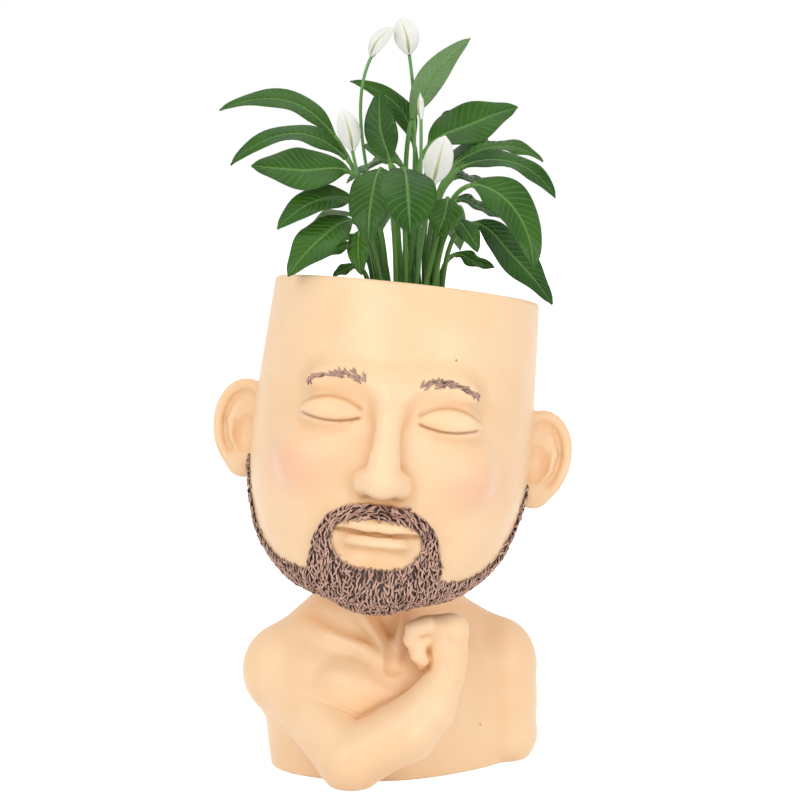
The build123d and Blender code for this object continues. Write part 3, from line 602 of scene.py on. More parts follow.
def surface_net(field, low, high, step):
    """Closed quad mesh of a field's zero level: points and faces."""
    coarse, near = 4, 2.4
    cells = np.ceil((np.array(high) - low) / (step * coarse)).astype(int)
    size = cells * coarse + 1
    axes = [low[i] + step * np.arange(size[i]) for i in range(3)]
    rough = np.stack(np.meshgrid(*[a[::coarse] for a in axes], indexing="ij"), -1)
    shape = rough.shape[:3]
    known = in_chunks(field, rough.reshape(-1, 3).astype(np.float32)).reshape(shape)
    close = np.abs(known) < step * coarse * near
    # Fine values are found only in and round the coarse cells that lie near the surface.
    marked = np.zeros(cells, bool)
    for corner in corners:
        marked |= part_of(close, corner, cells)
    nearest = [np.minimum((np.arange(n) + 2) // coarse, c) for n, c in zip(size, cells)]
    values = known[np.ix_(*nearest)].astype(np.float32)
    wanted = np.zeros(size, bool)
    fine = marked.repeat(coarse, 0).repeat(coarse, 1).repeat(coarse, 2)
    for corner in corners:
        part = part_of(wanted, corner, fine.shape)
        part |= fine
    at = np.argwhere(wanted)
    points = np.stack([axes[i][at[:, i]] for i in range(3)], 1).astype(np.float32)
    values[at[:, 0], at[:, 1], at[:, 2]] = in_chunks(field, points)
    inside = values < 0
    count = np.zeros(size - 1, np.int8)
    for corner in corners:
        count += part_of(inside, corner, size - 1)
    active = np.argwhere((count > 0) & (count < 8))
    index = np.full(size - 1, -1, np.int32)
    index[active[:, 0], active[:, 1], active[:, 2]] = np.arange(len(active))
    # One point in each fine cell, in the middle of where its edges cross the surface.
    total = np.zeros((len(active), 3))
    hits = np.zeros(len(active))
    for a in corners:
        for axis in range(3):
            if a[axis]:
                continue
            b = tuple(1 if i == axis else a[i] for i in range(3))
            va = values[tuple((active + a).T)]
            vb = values[tuple((active + b).T)]
            cut = (va < 0) != (vb < 0)
            t = np.where(cut, va / np.where(cut, va - vb, 1), 0)
            spot = np.array(a, float)[None].repeat(len(active), 0)
            spot[:, axis] += t
            total += np.where(cut[:, None], spot, 0)
            hits += cut
    spots = np.array(low) + step * (active + total / hits[:, None])
    # One face round each edge of the grid that crosses the surface.
    faces = []
    for axis in range(3):
        u, v = (axis + 1) % 3, (axis + 2) % 3
        at = np.argwhere(np.diff(inside, axis=axis))
        across, up = at[:, u], at[:, v]
        at = at[(across > 0) & (up > 0) & (across < size[u] - 1) & (up < size[v] - 1)]
        quad = []
        for du, dv in ((1, 1), (0, 1), (0, 0), (1, 0)):
            cell = at.copy()
            cell[:, u] -= du
            cell[:, v] -= dv
            quad.append(index[tuple(cell.T)])
        quad = np.stack(quad, 1)
        flip = ~inside[tuple(at.T)]
        quad[flip] = quad[flip][:, ::-1]
        faces.append(quad)
    return spots, np.concatenate(faces)


def slope_of(field, points, reach=0.35):
    """A field's gradient at points."""
    made = np.zeros_like(points, dtype=float)
    for axis in range(3):
        step = np.zeros(3)
        step[axis] = reach
        ahead = in_chunks(field, (points + step).astype(np.float32))
        behind = in_chunks(field, (points - step).astype(np.float32))
        made[:, axis] = (ahead - behind) / (2 * reach)
    return made


def settle(field, points, rounds=2, limit=0.8):
    """Points moved onto a field's zero level."""
    for _ in range(rounds):
        value = in_chunks(field, points.astype(np.float32))
        slope = slope_of(field, points)
        move = value[:, None] * slope / np.maximum((slope**2).sum(1), 0.04)[:, None]
        points = points - np.clip(move, -limit, limit)
    return points


def mesh_piece(name, points, faces, body, material, attributes=None):
    """Object from points in millimetres and faces, riding on a body of the frame."""
    mesh = bpy.data.meshes.new(name)
    faces = np.asarray(faces)
    mesh.vertices.add(len(points))
    mesh.vertices.foreach_set("co", (np.asarray(points) * MM).astype(np.float32).ravel())
    mesh.loops.add(faces.size)
    mesh.loops.foreach_set("vertex_index", faces.astype(np.int32).ravel())
    mesh.polygons.add(len(faces))
    starts = np.arange(0, faces.size, faces.shape[1], dtype=np.int32)
    mesh.polygons.foreach_set("loop_start", starts)
    mesh.update(calc_edges=True)
    mesh.validate()
    mesh.polygons.foreach_set("use_smooth", np.ones(len(mesh.polygons), bool))
    for key, values in (attributes or {}).items():
        layer = mesh.attributes.new(key, "FLOAT", "POINT")
        layer.data.foreach_set("value", np.asarray(values, np.float32))
    piece = bpy.data.objects.new(name, mesh)
    bpy.context.scene.collection.objects.link(piece)
    mesh.materials.append(material)
    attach(piece, body)
    return piece


# Materials.


class Shader:
    """A material's or world's node tree with short ways to add to it."""

    def __init__(self, name, kind=bpy.data.materials, surface="Principled BSDF"):
        self.material = kind.new(name)
        self.material.use_nodes = True
        self.tree = self.material.node_tree
        self.surface = self.tree.nodes[surface]

    def node(self, kind, **settings):
        made = self.tree.nodes.new(kind)
        for key, value in settings.items():
            setattr(made, key, value)
        return made

    def feed(self, socket, source):
        if isinstance(source, bpy.types.NodeSocket):
            self.tree.links.new(source, socket)
        else:
            socket.default_value = source

    def set(self, **values):
        names = {
            "color": "Base Color",
            "rough": "Roughness",
            "specular": "Specular IOR Level",
            "normal": "Normal",
            "soft": "Subsurface Weight",
            "depth": "Subsurface Scale",
            "bleed": "Subsurface Radius",
            "glow": "Emission Color",
            "glow_strength": "Emission Strength",
            "sky": "Color",
            "sky_strength": "Strength",
        }
        for key, value in values.items():
            self.feed(self.surface.inputs[names[key]], value)

    def read(self, attribute):
        return self.node("ShaderNodeAttribute", attribute_name=attribute).outputs["Fac"]

    def math(self, operation, a, b=0.0):
        made = self.node("ShaderNodeMath", operation=operation)
        self.feed(made.inputs[0], a)
        self.feed(made.inputs[1], b)
        return made.outputs[0]

    def ramp(self, source, low, high, least=0.0):
        """least below low, 1 above high, smooth between."""
        made = self.node("ShaderNodeMapRange", interpolation_type="SMOOTHSTEP")
        for place, value in enumerate((source, low, high, least, 1.0)):
            self.feed(made.inputs[place], value)
        return made.outputs["Result"]

    def mix(self, share, a, b):
        made = self.node("ShaderNodeMix", data_type="RGBA")
        self.feed(made.inputs[0], share)
        self.feed(made.inputs[6], a)
        self.feed(made.inputs[7], b)
        return made.outputs[2]

    def filled(self, kind, **inputs):
        """A node with its named inputs set or linked."""
        made = self.node(kind)
        for key, value in inputs.items():
            self.feed(made.inputs[key], value)
        return made

    def noise(self, scale, detail=2.0, rough=0.5, stretch=None):
        place = self.node("ShaderNodeTexCoord").outputs["Object"]
        if stretch:
            scaled = self.filled("ShaderNodeMapping", Vector=place, Scale=stretch)
            place = scaled.outputs["Vector"]
        made = self.filled(
            "ShaderNodeTexNoise", Vector=place, Scale=scale, Detail=detail, Roughness=rough
        )
        return made.outputs["Fac"]

    def spots(self, scale, radius):
        """1 in small round specks."""
        place = self.node("ShaderNodeTexCoord").outputs["Object"]
        made = self.filled("ShaderNodeTexVoronoi", Vector=place, Scale=scale)
        return self.ramp(made.outputs["Distance"], radius, radius * 0.5)

    def seen(self):
        """1 for what the camera sees, straight or in a gloss, and 0 for other rays."""
        path = self.node("ShaderNodeLightPath")
        return self.math("MAXIMUM", path.outputs["Is Camera Ray"], path.outputs["Is Glossy Ray"])

    def bump(self, height, strength, distance):
        made = self.filled("ShaderNodeBump", Strength=strength, Distance=distance, Height=height)
        return made.outputs["Normal"]


def rgb(red, green, blue):
    return (red, green, blue, 1.0)


def resin_material():
    """Painted resin: peach, browner in its creases as brown wash and painted shade, pink on the
    cheeks, a few specks.
    """
    s = Shader("resin")
    skin = s.mix(s.ramp(s.noise(28, 3), 0.35, 0.65), rgb(0.93, 0.62, 0.36), rgb(0.96, 0.67, 0.41))
    # Painted shade: hollows turn browner, standing in for the shade that falls in them as well as
    # the brown wash there.
    skin = s.mix(s.math("MULTIPLY", s.read("crease"), 0.80), skin, rgb(0.68, 0.36, 0.13))
    skin = s.mix(s.math("MULTIPLY", s.read("blush"), 0.55), skin, rgb(0.93, 0.47, 0.32))
    skin = s.mix(s.read("paint"), skin, rgb(0.060, 0.024, 0.020))
    lash = s.math("MULTIPLY", s.read("lash"), 0.85)
    skin = s.mix(lash, skin, rgb(0.36, 0.16, 0.07))
    specks = s.math("MULTIPLY", s.spots(80, 0.055), s.ramp(s.noise(35, 0), 0.56, 0.60))
    skin = s.mix(s.math("MULTIPLY", specks, 0.85), skin, rgb(0.20, 0.10, 0.05))
    rough = s.math("ADD", s.math("MULTIPLY", s.noise(60, 3), 0.16), 0.30)
    fine = s.math("ADD", s.noise(220, 3), s.math("MULTIPLY", specks, -1.5))
    s.set(color=skin, rough=rough, specular=0.45, soft=0.06, depth=0.004, bleed=(1.0, 0.45, 0.25))
    s.set(normal=s.bump(fine, 0.10, 0.0004))
    return s.material


def hair_material(name, dark, light):
    """Painted relief hair: dark in the grooves, dry-brushed lighter on the ridges."""
    s = Shader(name)
    crest = s.ramp(s.read("crest"), 0.38, 0.92)
    share = s.math("MULTIPLY", crest, s.ramp(s.noise(320, 3), 0.22, 0.55))
    s.set(color=s.mix(share, dark, light), rough=0.42, specular=0.4)
    s.set(normal=s.bump(s.noise(900, 2), 0.15, 0.0003))
    return s.material


def leaf_material():
    """Waxy leaf: veins and midrib paler, the margin darker, the underside dull and pale."""
    s = Shader("leaf")
    across = s.read("across")
    off = s.math("ABSOLUTE", across)
    phase = s.math("ADD", s.math("MULTIPLY", s.read("along"), 0.30), s.math("MULTIPLY", off, -2.4))
    wave = s.math("PINGPONG", phase, 0.5)
    vein = s.math("MULTIPLY", s.ramp(wave, 0.36, 0.5), s.ramp(off, 0.98, 0.80))
    rib = s.ramp(off, 0.085, 0.03)
    dark, light = rgb(0.012, 0.058, 0.004), rgb(0.028, 0.104, 0.007)
    tone = s.mix(s.ramp(s.noise(55, 3), 0.30, 0.70), dark, light)
    tone = s.mix(s.math("MULTIPLY", s.read("young"), 0.70), tone, rgb(0.080, 0.21, 0.015))
    tone = s.mix(s.math("MULTIPLY", vein, 0.32), tone, rgb(0.16, 0.34, 0.09))
    tone = s.mix(s.math("MULTIPLY", rib, 0.50), tone, rgb(0.18, 0.35, 0.09))
    tone = s.mix(s.math("MULTIPLY", s.read("under"), 0.62), tone, rgb(0.21, 0.35, 0.15))
    tone = s.mix(s.read("stem"), tone, rgb(0.13, 0.29, 0.06))
    rough = s.math("ADD", s.math("MULTIPLY", s.read("under"), 0.24), 0.24)
    s.set(color=tone, rough=rough, specular=0.22)
    height = s.math("ADD", s.math("MULTIPLY", vein, -1.0), s.math("MULTIPLY", s.noise(160, 3), 0.5))
    s.set(normal=s.bump(height, 0.5, 0.0006))
    return s.material


def plain_material(name, tones, patches, rough, specular, grain, relief):
    """Two tones in soft patches, and a fine grain.

    patches holds the noise's scale and detail, and where the first tone ends and the
    second begins. grain holds the bump noise's settings, and relief its strength and depth.
    """
    s = Shader(name)
    scale, detail, low, high = patches
    tone = s.mix(s.ramp(s.noise(scale, detail), low, high), *tones)
    s.set(color=tone, rough=rough, specular=specular)
    s.set(normal=s.bump(s.noise(*grain), *relief))
    return s.material


def spathe_material():
    """White petal with a green midrib and tip, and faint lengthwise veins."""
    s = Shader("spathe")
    off = s.math("ABSOLUTE", s.read("across"))
    width = s.math("MULTIPLY", s.ramp(s.read("share"), 0.95, 0.10), 0.13)
    rib = s.ramp(s.math("SUBTRACT", off, width), 0.06, -0.01)
    tone = s.mix(s.ramp(s.noise(70, 3), 0.3, 0.7), rgb(0.76, 0.77, 0.70), rgb(0.86, 0.86, 0.82))
    green, straw = rgb(0.17, 0.27, 0.05), rgb(0.55, 0.50, 0.20)
    rib_tone = s.mix(s.ramp(s.read("share"), 0.05, 0.6), green, straw)
    tone = s.mix(s.math("MULTIPLY", rib, 0.85), tone, rib_tone)
    lines = s.math("PINGPONG", s.math("MULTIPLY", off, 5.0), 0.5)
    s.set(color=tone, rough=0.5, specular=0.3, soft=0.05, depth=0.001)
    s.set(normal=s.bump(lines, 0.2, 0.0003))
    return s.material


def spadix_material():
    s = Shader("spadix")
    tone = s.mix(s.ramp(s.read("crest"), 0.2, 0.9), rgb(0.50, 0.52, 0.22), rgb(0.86, 0.85, 0.66))
    s.set(color=tone, rough=0.6, specular=0.25)
    s.set(normal=s.bump(s.noise(900, 2), 0.2, 0.0002))
    return s.material


floor_tone = 0.80


def floor_material():
    """Pale floor that renders white around the object and keeps its shadow."""
    s = Shader("floor")
    s.set(color=rgb(floor_tone, floor_tone, floor_tone), rough=0.9, specular=0.0)
    s.set(glow=rgb(1, 1, 1), glow_strength=s.math("MULTIPLY", s.seen(), floor_tone))
    return s.material


stalk_tones = (rgb(0.10, 0.27, 0.06), rgb(0.17, 0.37, 0.10))
soil_tones = (rgb(0.030, 0.019, 0.012), rgb(0.110, 0.070, 0.042))
pot_tones = (rgb(0.016, 0.016, 0.017), rgb(0.035, 0.035, 0.037))
rubber_tones = (rgb(0.020, 0.020, 0.020), rgb(0.050, 0.048, 0.046))
lengthwise = (1, 1, 0.1)
resin = resin_material()
hair = hair_material("beard", rgb(0.050, 0.018, 0.016), rgb(0.67, 0.41, 0.31))
leaf_green = leaf_material()
petal_white, spike_pale = spathe_material(), spadix_material()
stalk_green = plain_material(
    "stalk", stalk_tones, (40, 2, 0.3, 0.7), 0.38, 0.4, (200, 2, 0.5, lengthwise), (0.15, 0.0003)
)
soil_brown = plain_material(
    "soil", soil_tones, (260, 4, 0.35, 0.65), 0.95, 0.2, (700, 4, 0.7), (0.8, 0.001)
)
pot_black = plain_material(
    "pot_plastic", pot_tones, (90, 3, 0.35, 0.7), 0.48, 0.45, (500, 2), (0.15, 0.0003)
)
plug_black = plain_material(
    "plug_rubber", rubber_tones, (120, 3, 0.35, 0.7), 0.72, 0.3, (900, 3), (0.3, 0.0003)
)


def hollow_shade_and_wash(field, points, normals, reach, gain, least):
    """0 to 1 where the surface is hollow on the scale of reach: where the brown wash gathers and
    where painted shade stands in for the shade falling there.
    """
    out = in_chunks(field, (points + normals * reach).astype(np.float32))
    return np.clip(np.clip(1 - out / reach, 0, 1) * gain - least, 0, 1)


def lash_paint(p):
    """Thin brown wash where the closed lids meet and between the lips."""
    dx, meet, fold_z = lid_lines(np.abs(p[:, 0]))
    ends = np.clip((1.08 - np.abs(dx)) / 0.15, 0, 1)
    near = np.exp(-(((p[:, 2] - meet) / 0.6) ** 2))
    folded = 0.35 * np.exp(-(((p[:, 2] - fold_z) / 0.9) ** 2))
    seam = np.exp(-(((p[:, 2] - mouth_z - 0.2) / 0.7) ** 2))
    mouth = seam * np.clip((half_mouth - np.abs(p[:, 0])) / 2, 0, 1)
    lids = np.maximum(near, folded) * ends
    return np.where(p[:, 1] < -face_depth * 0.5, np.maximum(lids, 0.8 * mouth), 0)


def sculpt(field, low, high):
    """Points, faces and normals of a field's surface."""
    points, faces = surface_net(field, low, high, skin_step)
    points = settle(field, points)
    return points, faces, unit(slope_of(field, points))


def make_head():
    """The head casting as one sculpted mesh; gives its points for the hair."""
    low = (-half_head - 27, -face_depth - 26, -4)
    high = (half_head + 27, nape_depth + 4, head_height + 3)
    points, faces, normals = sculpt(head_field, low, high)
    x = np.abs(points[:, 0])
    cheek = np.hypot((x - 41) / 15, (points[:, 2] - third * 1.20) / 11)
    blush = np.exp(-(cheek**2)) * (points[:, 1] < -20)
    beard = np.clip(beard_depth(points) / 1.2 + 0.4, 0, 1) * may_be_bearded(points)
    below_rim = np.clip((head_height - 4 - points[:, 2]) / 3, 0, 1)
    # Painted shade with the brown wash in the head's hollows, below the rim and off the back.
    crease = hollow_shade_and_wash(head_field, points, normals, 2.2, 1.3, 0.12) * below_rim
    crease = crease * (points[:, 1] < 40)
    details = {"crease": crease, "blush": blush, "paint": beard, "lash": lash_paint(points)}
    piece = mesh_piece("head_casting", to_row(points), faces, "planter", resin, details)
    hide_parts("head_shell")
    return points


def make_bust():
    """Shoulders, arms and hand as one sculpted mesh."""
    points, faces, normals = sculpt(bust_field, (-78, -66, -3), (74, 48, joint_z + 11))
    # Painted shade with the brown wash in the bust's hollows, above the underside.
    crease = hollow_shade_and_wash(bust_field, points, normals, 2.4, 1.5, 0.15) * (points[:, 2] > 1.5)
    none = np.zeros(len(points))
    details = {"crease": crease, "blush": none, "paint": none, "lash": none}
    piece = mesh_piece("bust_casting", points, faces, "planter", resin, details)
    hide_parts("bust_base")


def ring_faces(rows, sides):
    """Faces between rings of points that follow each other."""
    ids = np.arange(rows * sides).reshape(rows, sides)
    after = np.roll(ids, -1, 1)
    return np.stack([ids[:-1], after[:-1], after[1:], ids[1:]], -1).reshape(-1, 4)


def cap_faces(first, sides, middle):
    """Faces from a ring's points to the middle point of its end, two sides at a time."""
    spots = [[first + (j + k) % sides for k in range(3)] for j in range(0, sides, 2)]
    return np.array([(a, b, c, middle) for a, b, c in spots])


def tubes(paths, radii, sides, up=None):
    """Closed tubes along paths of shape (count, steps, 3), with radii of (count, steps)."""
    count, steps = paths.shape[:2]
    along = unit(np.gradient(paths, axis=1))
    if up is None:
        up = np.broadcast_to(np.array([0.31, 0.17, 0.93]), paths.shape)
    across = unit(np.cross(along, up))
    lift = unit(np.cross(across, along))
    angles = np.arange(sides) * 2 * math.pi / sides + math.pi / 2
    ring = np.cos(angles)[:, None] * across[:, :, None] + np.sin(angles)[:, None] * lift[:, :, None]
    points = paths[:, :, None] + ring * radii[:, :, None, None]
    crest = np.broadcast_to((np.sin(angles) + 1) / 2, points.shape[:3])
    points = points.reshape(-1, 3)
    first = np.arange(count)[:, None, None] * steps * sides
    faces = [(ring_faces(steps, sides) + first).reshape(-1, 4)]
    for end, middle, way in ((0, 0, -1), (steps - 1, count, 1)):
        cap = cap_faces(end * sides, sides, 0) + first
        cap[..., 3] = len(points) + middle + np.arange(count)[:, None]
        faces.append(cap.reshape(-1, 4)[:, ::way])
    points = np.concatenate([points, paths[:, 0], paths[:, -1]])
    crest = np.concatenate([crest.ravel(), np.full(2 * count, 0.5)])
    return points, np.concatenate(faces), crest


def spread(points, weights, gap, most):
    """Indices of points picked at random, none within gap of another."""
    order = rng.permutation(len(points))
    order = order[rng.random(len(order)) < weights[order]]
    cell, chosen = {}, []
    keys = np.floor(points / gap).astype(int)
    near = [(i, j, k) for i in (-1, 0, 1) for j in (-1, 0, 1) for k in (-1, 0, 1)]
    for n in order:
        i, j, k = keys[n]
        close = [m for a, b, c in near for m in cell.get((i + a, j + b, k + c), ())]
        if close and (((points[n] - points[close]) ** 2).sum(1) < gap * gap).any():
            continue
        cell.setdefault((i, j, k), []).append(n)
        chosen.append(n)
        if len(chosen) >= most:
            break
    return np.array(chosen)


def beard_flow(p):
    """Which way the beard lies at points of the head: out and down from the middle."""
    x = p[:, 0]
    side = np.sign(x + 1e-6)
    lip = np.clip((p[:, 2] - mouth_z) / (third * 0.22), 0, 1)
    jaw = np.clip((np.abs(x) - half_mouth * 1.4) / 12, 0, 1)
    out = side * (0.95 * lip + 0.12 * (1 - lip))
    down = -(0.55 * lip + 1.0 * (1 - lip))
    forward = -0.55 * jaw
    return np.stack([out * (1 - jaw) + side * 0.1 * jaw, forward, down], 1)


def strands(field, roots, heading, length, radius, steps, wiggle, lift):
    """Short curved hairs that hug a surface: paths, radii and the way off the surface."""
    count = len(roots)
    here = settle(field, roots, 1)
    normal = unit(slope_of(field, here))
    way = unit(heading - (heading * normal).sum(1)[:, None] * normal)
    bend = rng.normal(0, wiggle, count)
    swing = rng.normal(0, wiggle * 1.4, count)
    hop = (length / (steps - 1))[:, None]
    path, ups = [], []
    for k in range(steps):
        t = k / (steps - 1)
        height = lift * (0.25 + math.sin(math.pi * min(1, t * 0.9 + 0.1)))
        path.append(here + normal * height[:, None])
        ups.append(normal)
        turn = bend + swing * math.cos(2 * math.pi * t)
        side = np.cross(normal, way)
        way = unit(way + side * (turn / steps)[:, None])
        here = settle(field, here + way * hop, 1)
        normal = unit(slope_of(field, here))
        way = unit(way - (way * normal).sum(1)[:, None] * normal)
    path = np.stack(path, 1)
    ups = np.stack(ups, 1)
    t = np.linspace(0, 1, steps)
    taper = 0.30 + 0.70 * np.sin(math.pi * np.clip(t * 0.92 + 0.06, 0, 1)) ** 0.6
    return path, radius[:, None] * taper[None], ups


# Strands: how many at most, how far apart, and the rings and sides of each.
beard_most, beard_gap, beard_rings = 4600, 1.32, 7
brow_count, brow_rings = 58, 6
strand_sides = 6


def make_beard(points):
    """Relief beard of short curved ridges over the painted skin."""
    spots = points[may_be_bearded(points)]
    spots = spots[beard_depth(spots) > 0.4]
    front = spots[:, 1] < -face_depth * 0.35
    roots = spots[spread(spots, np.where(front, 1.0, 0.8), beard_gap, beard_most)]
    count = len(roots)
    heading = beard_flow(roots) + rng.normal(0, 0.26, (count, 3))
    length = rng.uniform(3.2, 5.0, count)
    radius = rng.uniform(0.40, 0.60, count)
    lift = rng.uniform(0.20, 0.80, count)
    roots = roots - unit(heading) * (length * 0.4)[:, None]
    path, size, ups = strands(head_field, roots, heading, length, radius, beard_rings, 0.9, lift)
    made, faces, crest = tubes(to_row(path), size, strand_sides, ups @ head_turning.T)
    shade = rng.uniform(0.75, 1.1, count)
    tone = np.concatenate([np.repeat(shade, beard_rings * strand_sides), shade, shade])
    mesh_piece("beard", made, faces, "planter", hair, {"crest": crest * tone})


def make_brows():
    """Two thin arched brows of short ridges, painted like the beard."""
    made = []
    for side in (-1, 1):
        count = brow_count
        t = np.sort(rng.uniform(0, 1, count))
        x = side * (eye_width * 0.44 + t * eye_width * 1.22)
        rise = 4.6 * np.sin(math.pi * np.clip(t * 0.86, 0, 1)) - 1.6 * t
        width = 1.9 * np.sin(math.pi * np.clip(0.16 + t * 0.84, 0, 1)) ** 0.7
        z = brow_z + 1.5 + rise + rng.uniform(-1, 1, count) * width
        y = np.full(count, -face_depth * 1.02)
        roots = settle(head_field, np.stack([x, y, z], 1), 4, 4.0)
        slant, climb = side * (0.55 + 0.75 * t), 0.75 - 1.15 * t
        heading = np.stack([slant, np.zeros(count), climb], 1) + rng.normal(0, 0.16, (count, 3))
        length = rng.uniform(3.4, 5.2, count)
        radius = rng.uniform(0.36, 0.50, count)
        lift = rng.uniform(0.10, 0.32, count)
        made.append(strands(head_field, roots, heading, length, radius, brow_rings, 0.5, lift))
    path, size, up = (np.concatenate(rows) for rows in zip(*made))
    made, faces, crest = tubes(to_row(path), size, strand_sides, up @ head_turning.T)
    mesh_piece("brows", made, faces, "planter", hair, {"crest": crest * 0.8})


# The plant.

# Root in hundredths of crown_radius, then base, middle and tip of the blade in hundredths
# of plant_reach in X and Y and of plant_height in Z, its width in hundredths of
# plant_reach, and where its upper face looks.
leaf_shares = [
    ((-62, 28), (-38, 12, 62), (-63, 18, 73), (-102, 18, 70), 17, (0, -0.6, 0.8)),
    ((-62, 6), (-31, -3, 55), (-58, -8, 63), (-94, -11, 53), 17, (0, -0.6, 0.8)),
    ((-50, -40), (-29, -19, 51), (-55, -31, 52), (-81, -36, 53), 27, (0, -0.8, 0.6)),
    ((-74, -42), (-27, -17, 42), (-45, -33, 43), (-67, -43, 34), 20, (-0.2, -0.8, 0.6)),
    ((-72, -70), (-27, -26, 36), (-45, -45, 31), (-61, -52, 20), 24, (-0.3, -0.85, 0.5)),
    ((-24, -78), (-12, -43, 52), (-17, -62, 43), (-18, -66, 31), 25, (-0.1, -0.25, 0.97)),
    ((4, -84), (1, -45, 52), (3, -68, 44), (4, -73, 33), 30, (0.1, -0.25, 0.97)),
    ((-14, -40), (-7, -15, 54), (-12, -17, 64), (-12, -19, 76), 18, (0, -1, 0.2)),
    ((4, 34), (6, 13, 60), (-2, 14, 71), (-29, 12, 79), 13, (0, -0.8, 0.6)),
    ((26, -8), (5, 0, 67), (16, 2, 80), (37, 4, 92), 15, (0, 1, 0.1)),
    ((48, 19), (14.5, 6.5, 59), (38, 16, 66), (64, 21, 71), 27, (0, -0.8, 0.6)),
    ((54, 50), (20, 16, 50), (34, 28, 56), (48, 35, 61), 16, (0, -0.6, 0.8)),
    ((60, 2), (29, 2, 53), (56, 7, 59), (78, 9, 54), 14, (0, -0.5, 0.85)),
    ((62, -22), (31, -12, 52), (61, -15, 54), (83, -17, 43), 16, (0, -0.6, 0.8)),
    ((88, -44), (37, -26, 47), (59, -36, 41), (70, -38, 22), 25, (0.3, -0.85, 0.5)),
    ((100, -22), (39, -10, 35), (61, -12, 25), (82, -15, 10), 23, (0.3, -0.75, 0.6)),
    ((42, -82), (24, -38, 43), (22, -46, 38), (18, -51, 32), 18, (0, -0.9, 0.5)),
    ((74, -70), (29, -27, 36), (35, -38, 33), (40, -43, 27), 12, (0.2, -0.9, 0.4)),
    ((100, 4), (29, 0, 25), (40, 2, 23), (51, 4, 21), 10, (0, -0.7, 0.7)),
    ((-90, -12), (-26, -3, 28), (-37, -5, 27), (-48, -8, 23), 8, (0, -0.7, 0.7)),
    ((-98, -44), (-25, -17, 22), (-32, -19, 21), (-38, -22, 19), 7, (0, -0.7, 0.7)),
    ((-50, -92), (-23, -35, 33), (-24, -41, 28), (-22, -43, 20), 12, (-0.2, -0.9, 0.3)),
    ((-88, 40), (-25, 11, 30), (-32, 14, 30), (-38, 16, 29), 6, (0, -0.7, 0.7)),
    ((-20, 48), (-9, 21, 54), (-21, 32, 52), (-32, 40, 47), 15, (0, -0.5, 0.85)),
    ((-10, -16), (-1, -5, 53), (-12, -3, 57), (-22, 0, 59), 9, (0, 0.9, 0.3)),
    ((72, 36), (29, 17, 49), (41, 27, 48), (49, 35, 47), 13, (0, -0.6, 0.8)),
    ((80, 22), (30, 7, 42), (43, 16, 40), (56, 23, 36), 13, (0, -0.6, 0.8)),
    ((14, 58), (20, 23, 64), (24, 25, 68), (27, 28, 70), 5, (0, -1, 0.2)),
    ((-12, 93), (-5, 40, 40), (-10, 64, 42), (-16, 90, 28), 24, (0, 0.4, 0.9)),
    ((32, 95), (14, 42, 36), (24, 66, 38), (34, 88, 24), 22, (0.1, 0.4, 0.9)),
    ((-58, 82), (-24, 34, 36), (-40, 54, 36), (-56, 72, 24), 20, (-0.2, 0.4, 0.9)),
]
flower_shares = [
    ((-4, 10), (3.5, 4, 87.2), (2, 2, 92.6), (-1.6, 2, 98.4), 13.5, (0, -1, 0.1)),
    ((-34, 6), (-16.8, 0, 86.6), (-12.6, -3, 90.9), (-3.9, -5, 95.1), 9, (-0.3, -1, 0.2)),
    ((-44, -14), (-27.5, -10, 57.5), (-29.5, -12, 63.5), (-33.4, -15, 70.1), 12.5, (0.1, -1, 0.1)),
    ((24, -54), (16.1, -31, 47.7), (18.7, -33, 54.1), (22.4, -38, 62.1), 15.5, (0.1, -1, 0.2)),
]
bud_shares = ((26, -30), (9.9, -10, 67), (9.8, -10, 70.9), (9.4, -11, 75.3), 3.8, (0, -1, 0.1))

# How wide a blade is along its length, as shares of its length and width.
blade_outline = [(0.10, 0.42), (0.26, 0.84), (0.44, 1.00), (0.64, 0.88), (0.82, 0.54), (0.94, 0.26)]
spathe_outline = [(0.14, 0.58), (0.36, 0.94), (0.58, 1.00), (0.80, 0.76), (0.93, 0.42)]

soil_z = head_height - bowl_depth + seat_gap + pot_height - soil_below_lip
soil_middle = to_row(np.array([[0.0, 0.0, soil_z]]))[0]
head_axis = head_turning[:, 2]


def plant_point(share):
    """Where a share, in hundredths of the plant's sizes, lies in the figure's frame."""
    return soil_middle + np.array(share) / 100 * (plant_reach, plant_reach, plant_height)


def hermite(a, b, ta, tb, t):
    """Points on the cubic from a to b with end tangents ta and tb."""
    t = np.asarray(t)[:, None]
    return (
        a * (2 * t**3 - 3 * t**2 + 1)
        + ta * (t**3 - 2 * t**2 + t)
        + b * (3 * t**2 - 2 * t**3)
        + tb * (t**3 - t**2)
    )


def blade_line(base, middle, tip, start, count):
    """Centre line of a blade, leaving base along start."""
    first, last = np.linalg.norm(middle - base), np.linalg.norm(tip - middle)
    through = unit((middle - base) / first + (tip - middle) / last)
    end = unit((tip - middle) * 2 / last - through)
    t = np.linspace(0, 1, count)
    early = hermite(base, middle, start * first, through * first, np.clip(2 * t, 0, 1))
    late = hermite(middle, tip, through * last, end * last, np.clip(2 * t - 1, 0, 1))
    return np.where((t < 0.5)[:, None], early, late)


def stem_line(root, base, end, count):
    """Centre line of a stem: up along the head from the soil, then to the blade."""
    foot = root + head_axis * stem_rise
    span = np.linalg.norm(base - foot)
    rest = hermite(foot, base, head_axis * span * 0.8, end * span * 0.9, np.linspace(0, 1, count))
    return np.concatenate([[root - head_axis * root_depth], rest])


sheet_columns = 21


def outline_width(t, outline, first, last):
    """Width along a blade through its outline's shares."""
    rows = [(-0.05, first * 0.9), (0.0, first), *outline, (1.0, last), (1.05, last * 0.5)]
    table = smooth_rows(rows, -0.05, 1.05, 0.005)
    return np.interp(t, table[0], table[1])


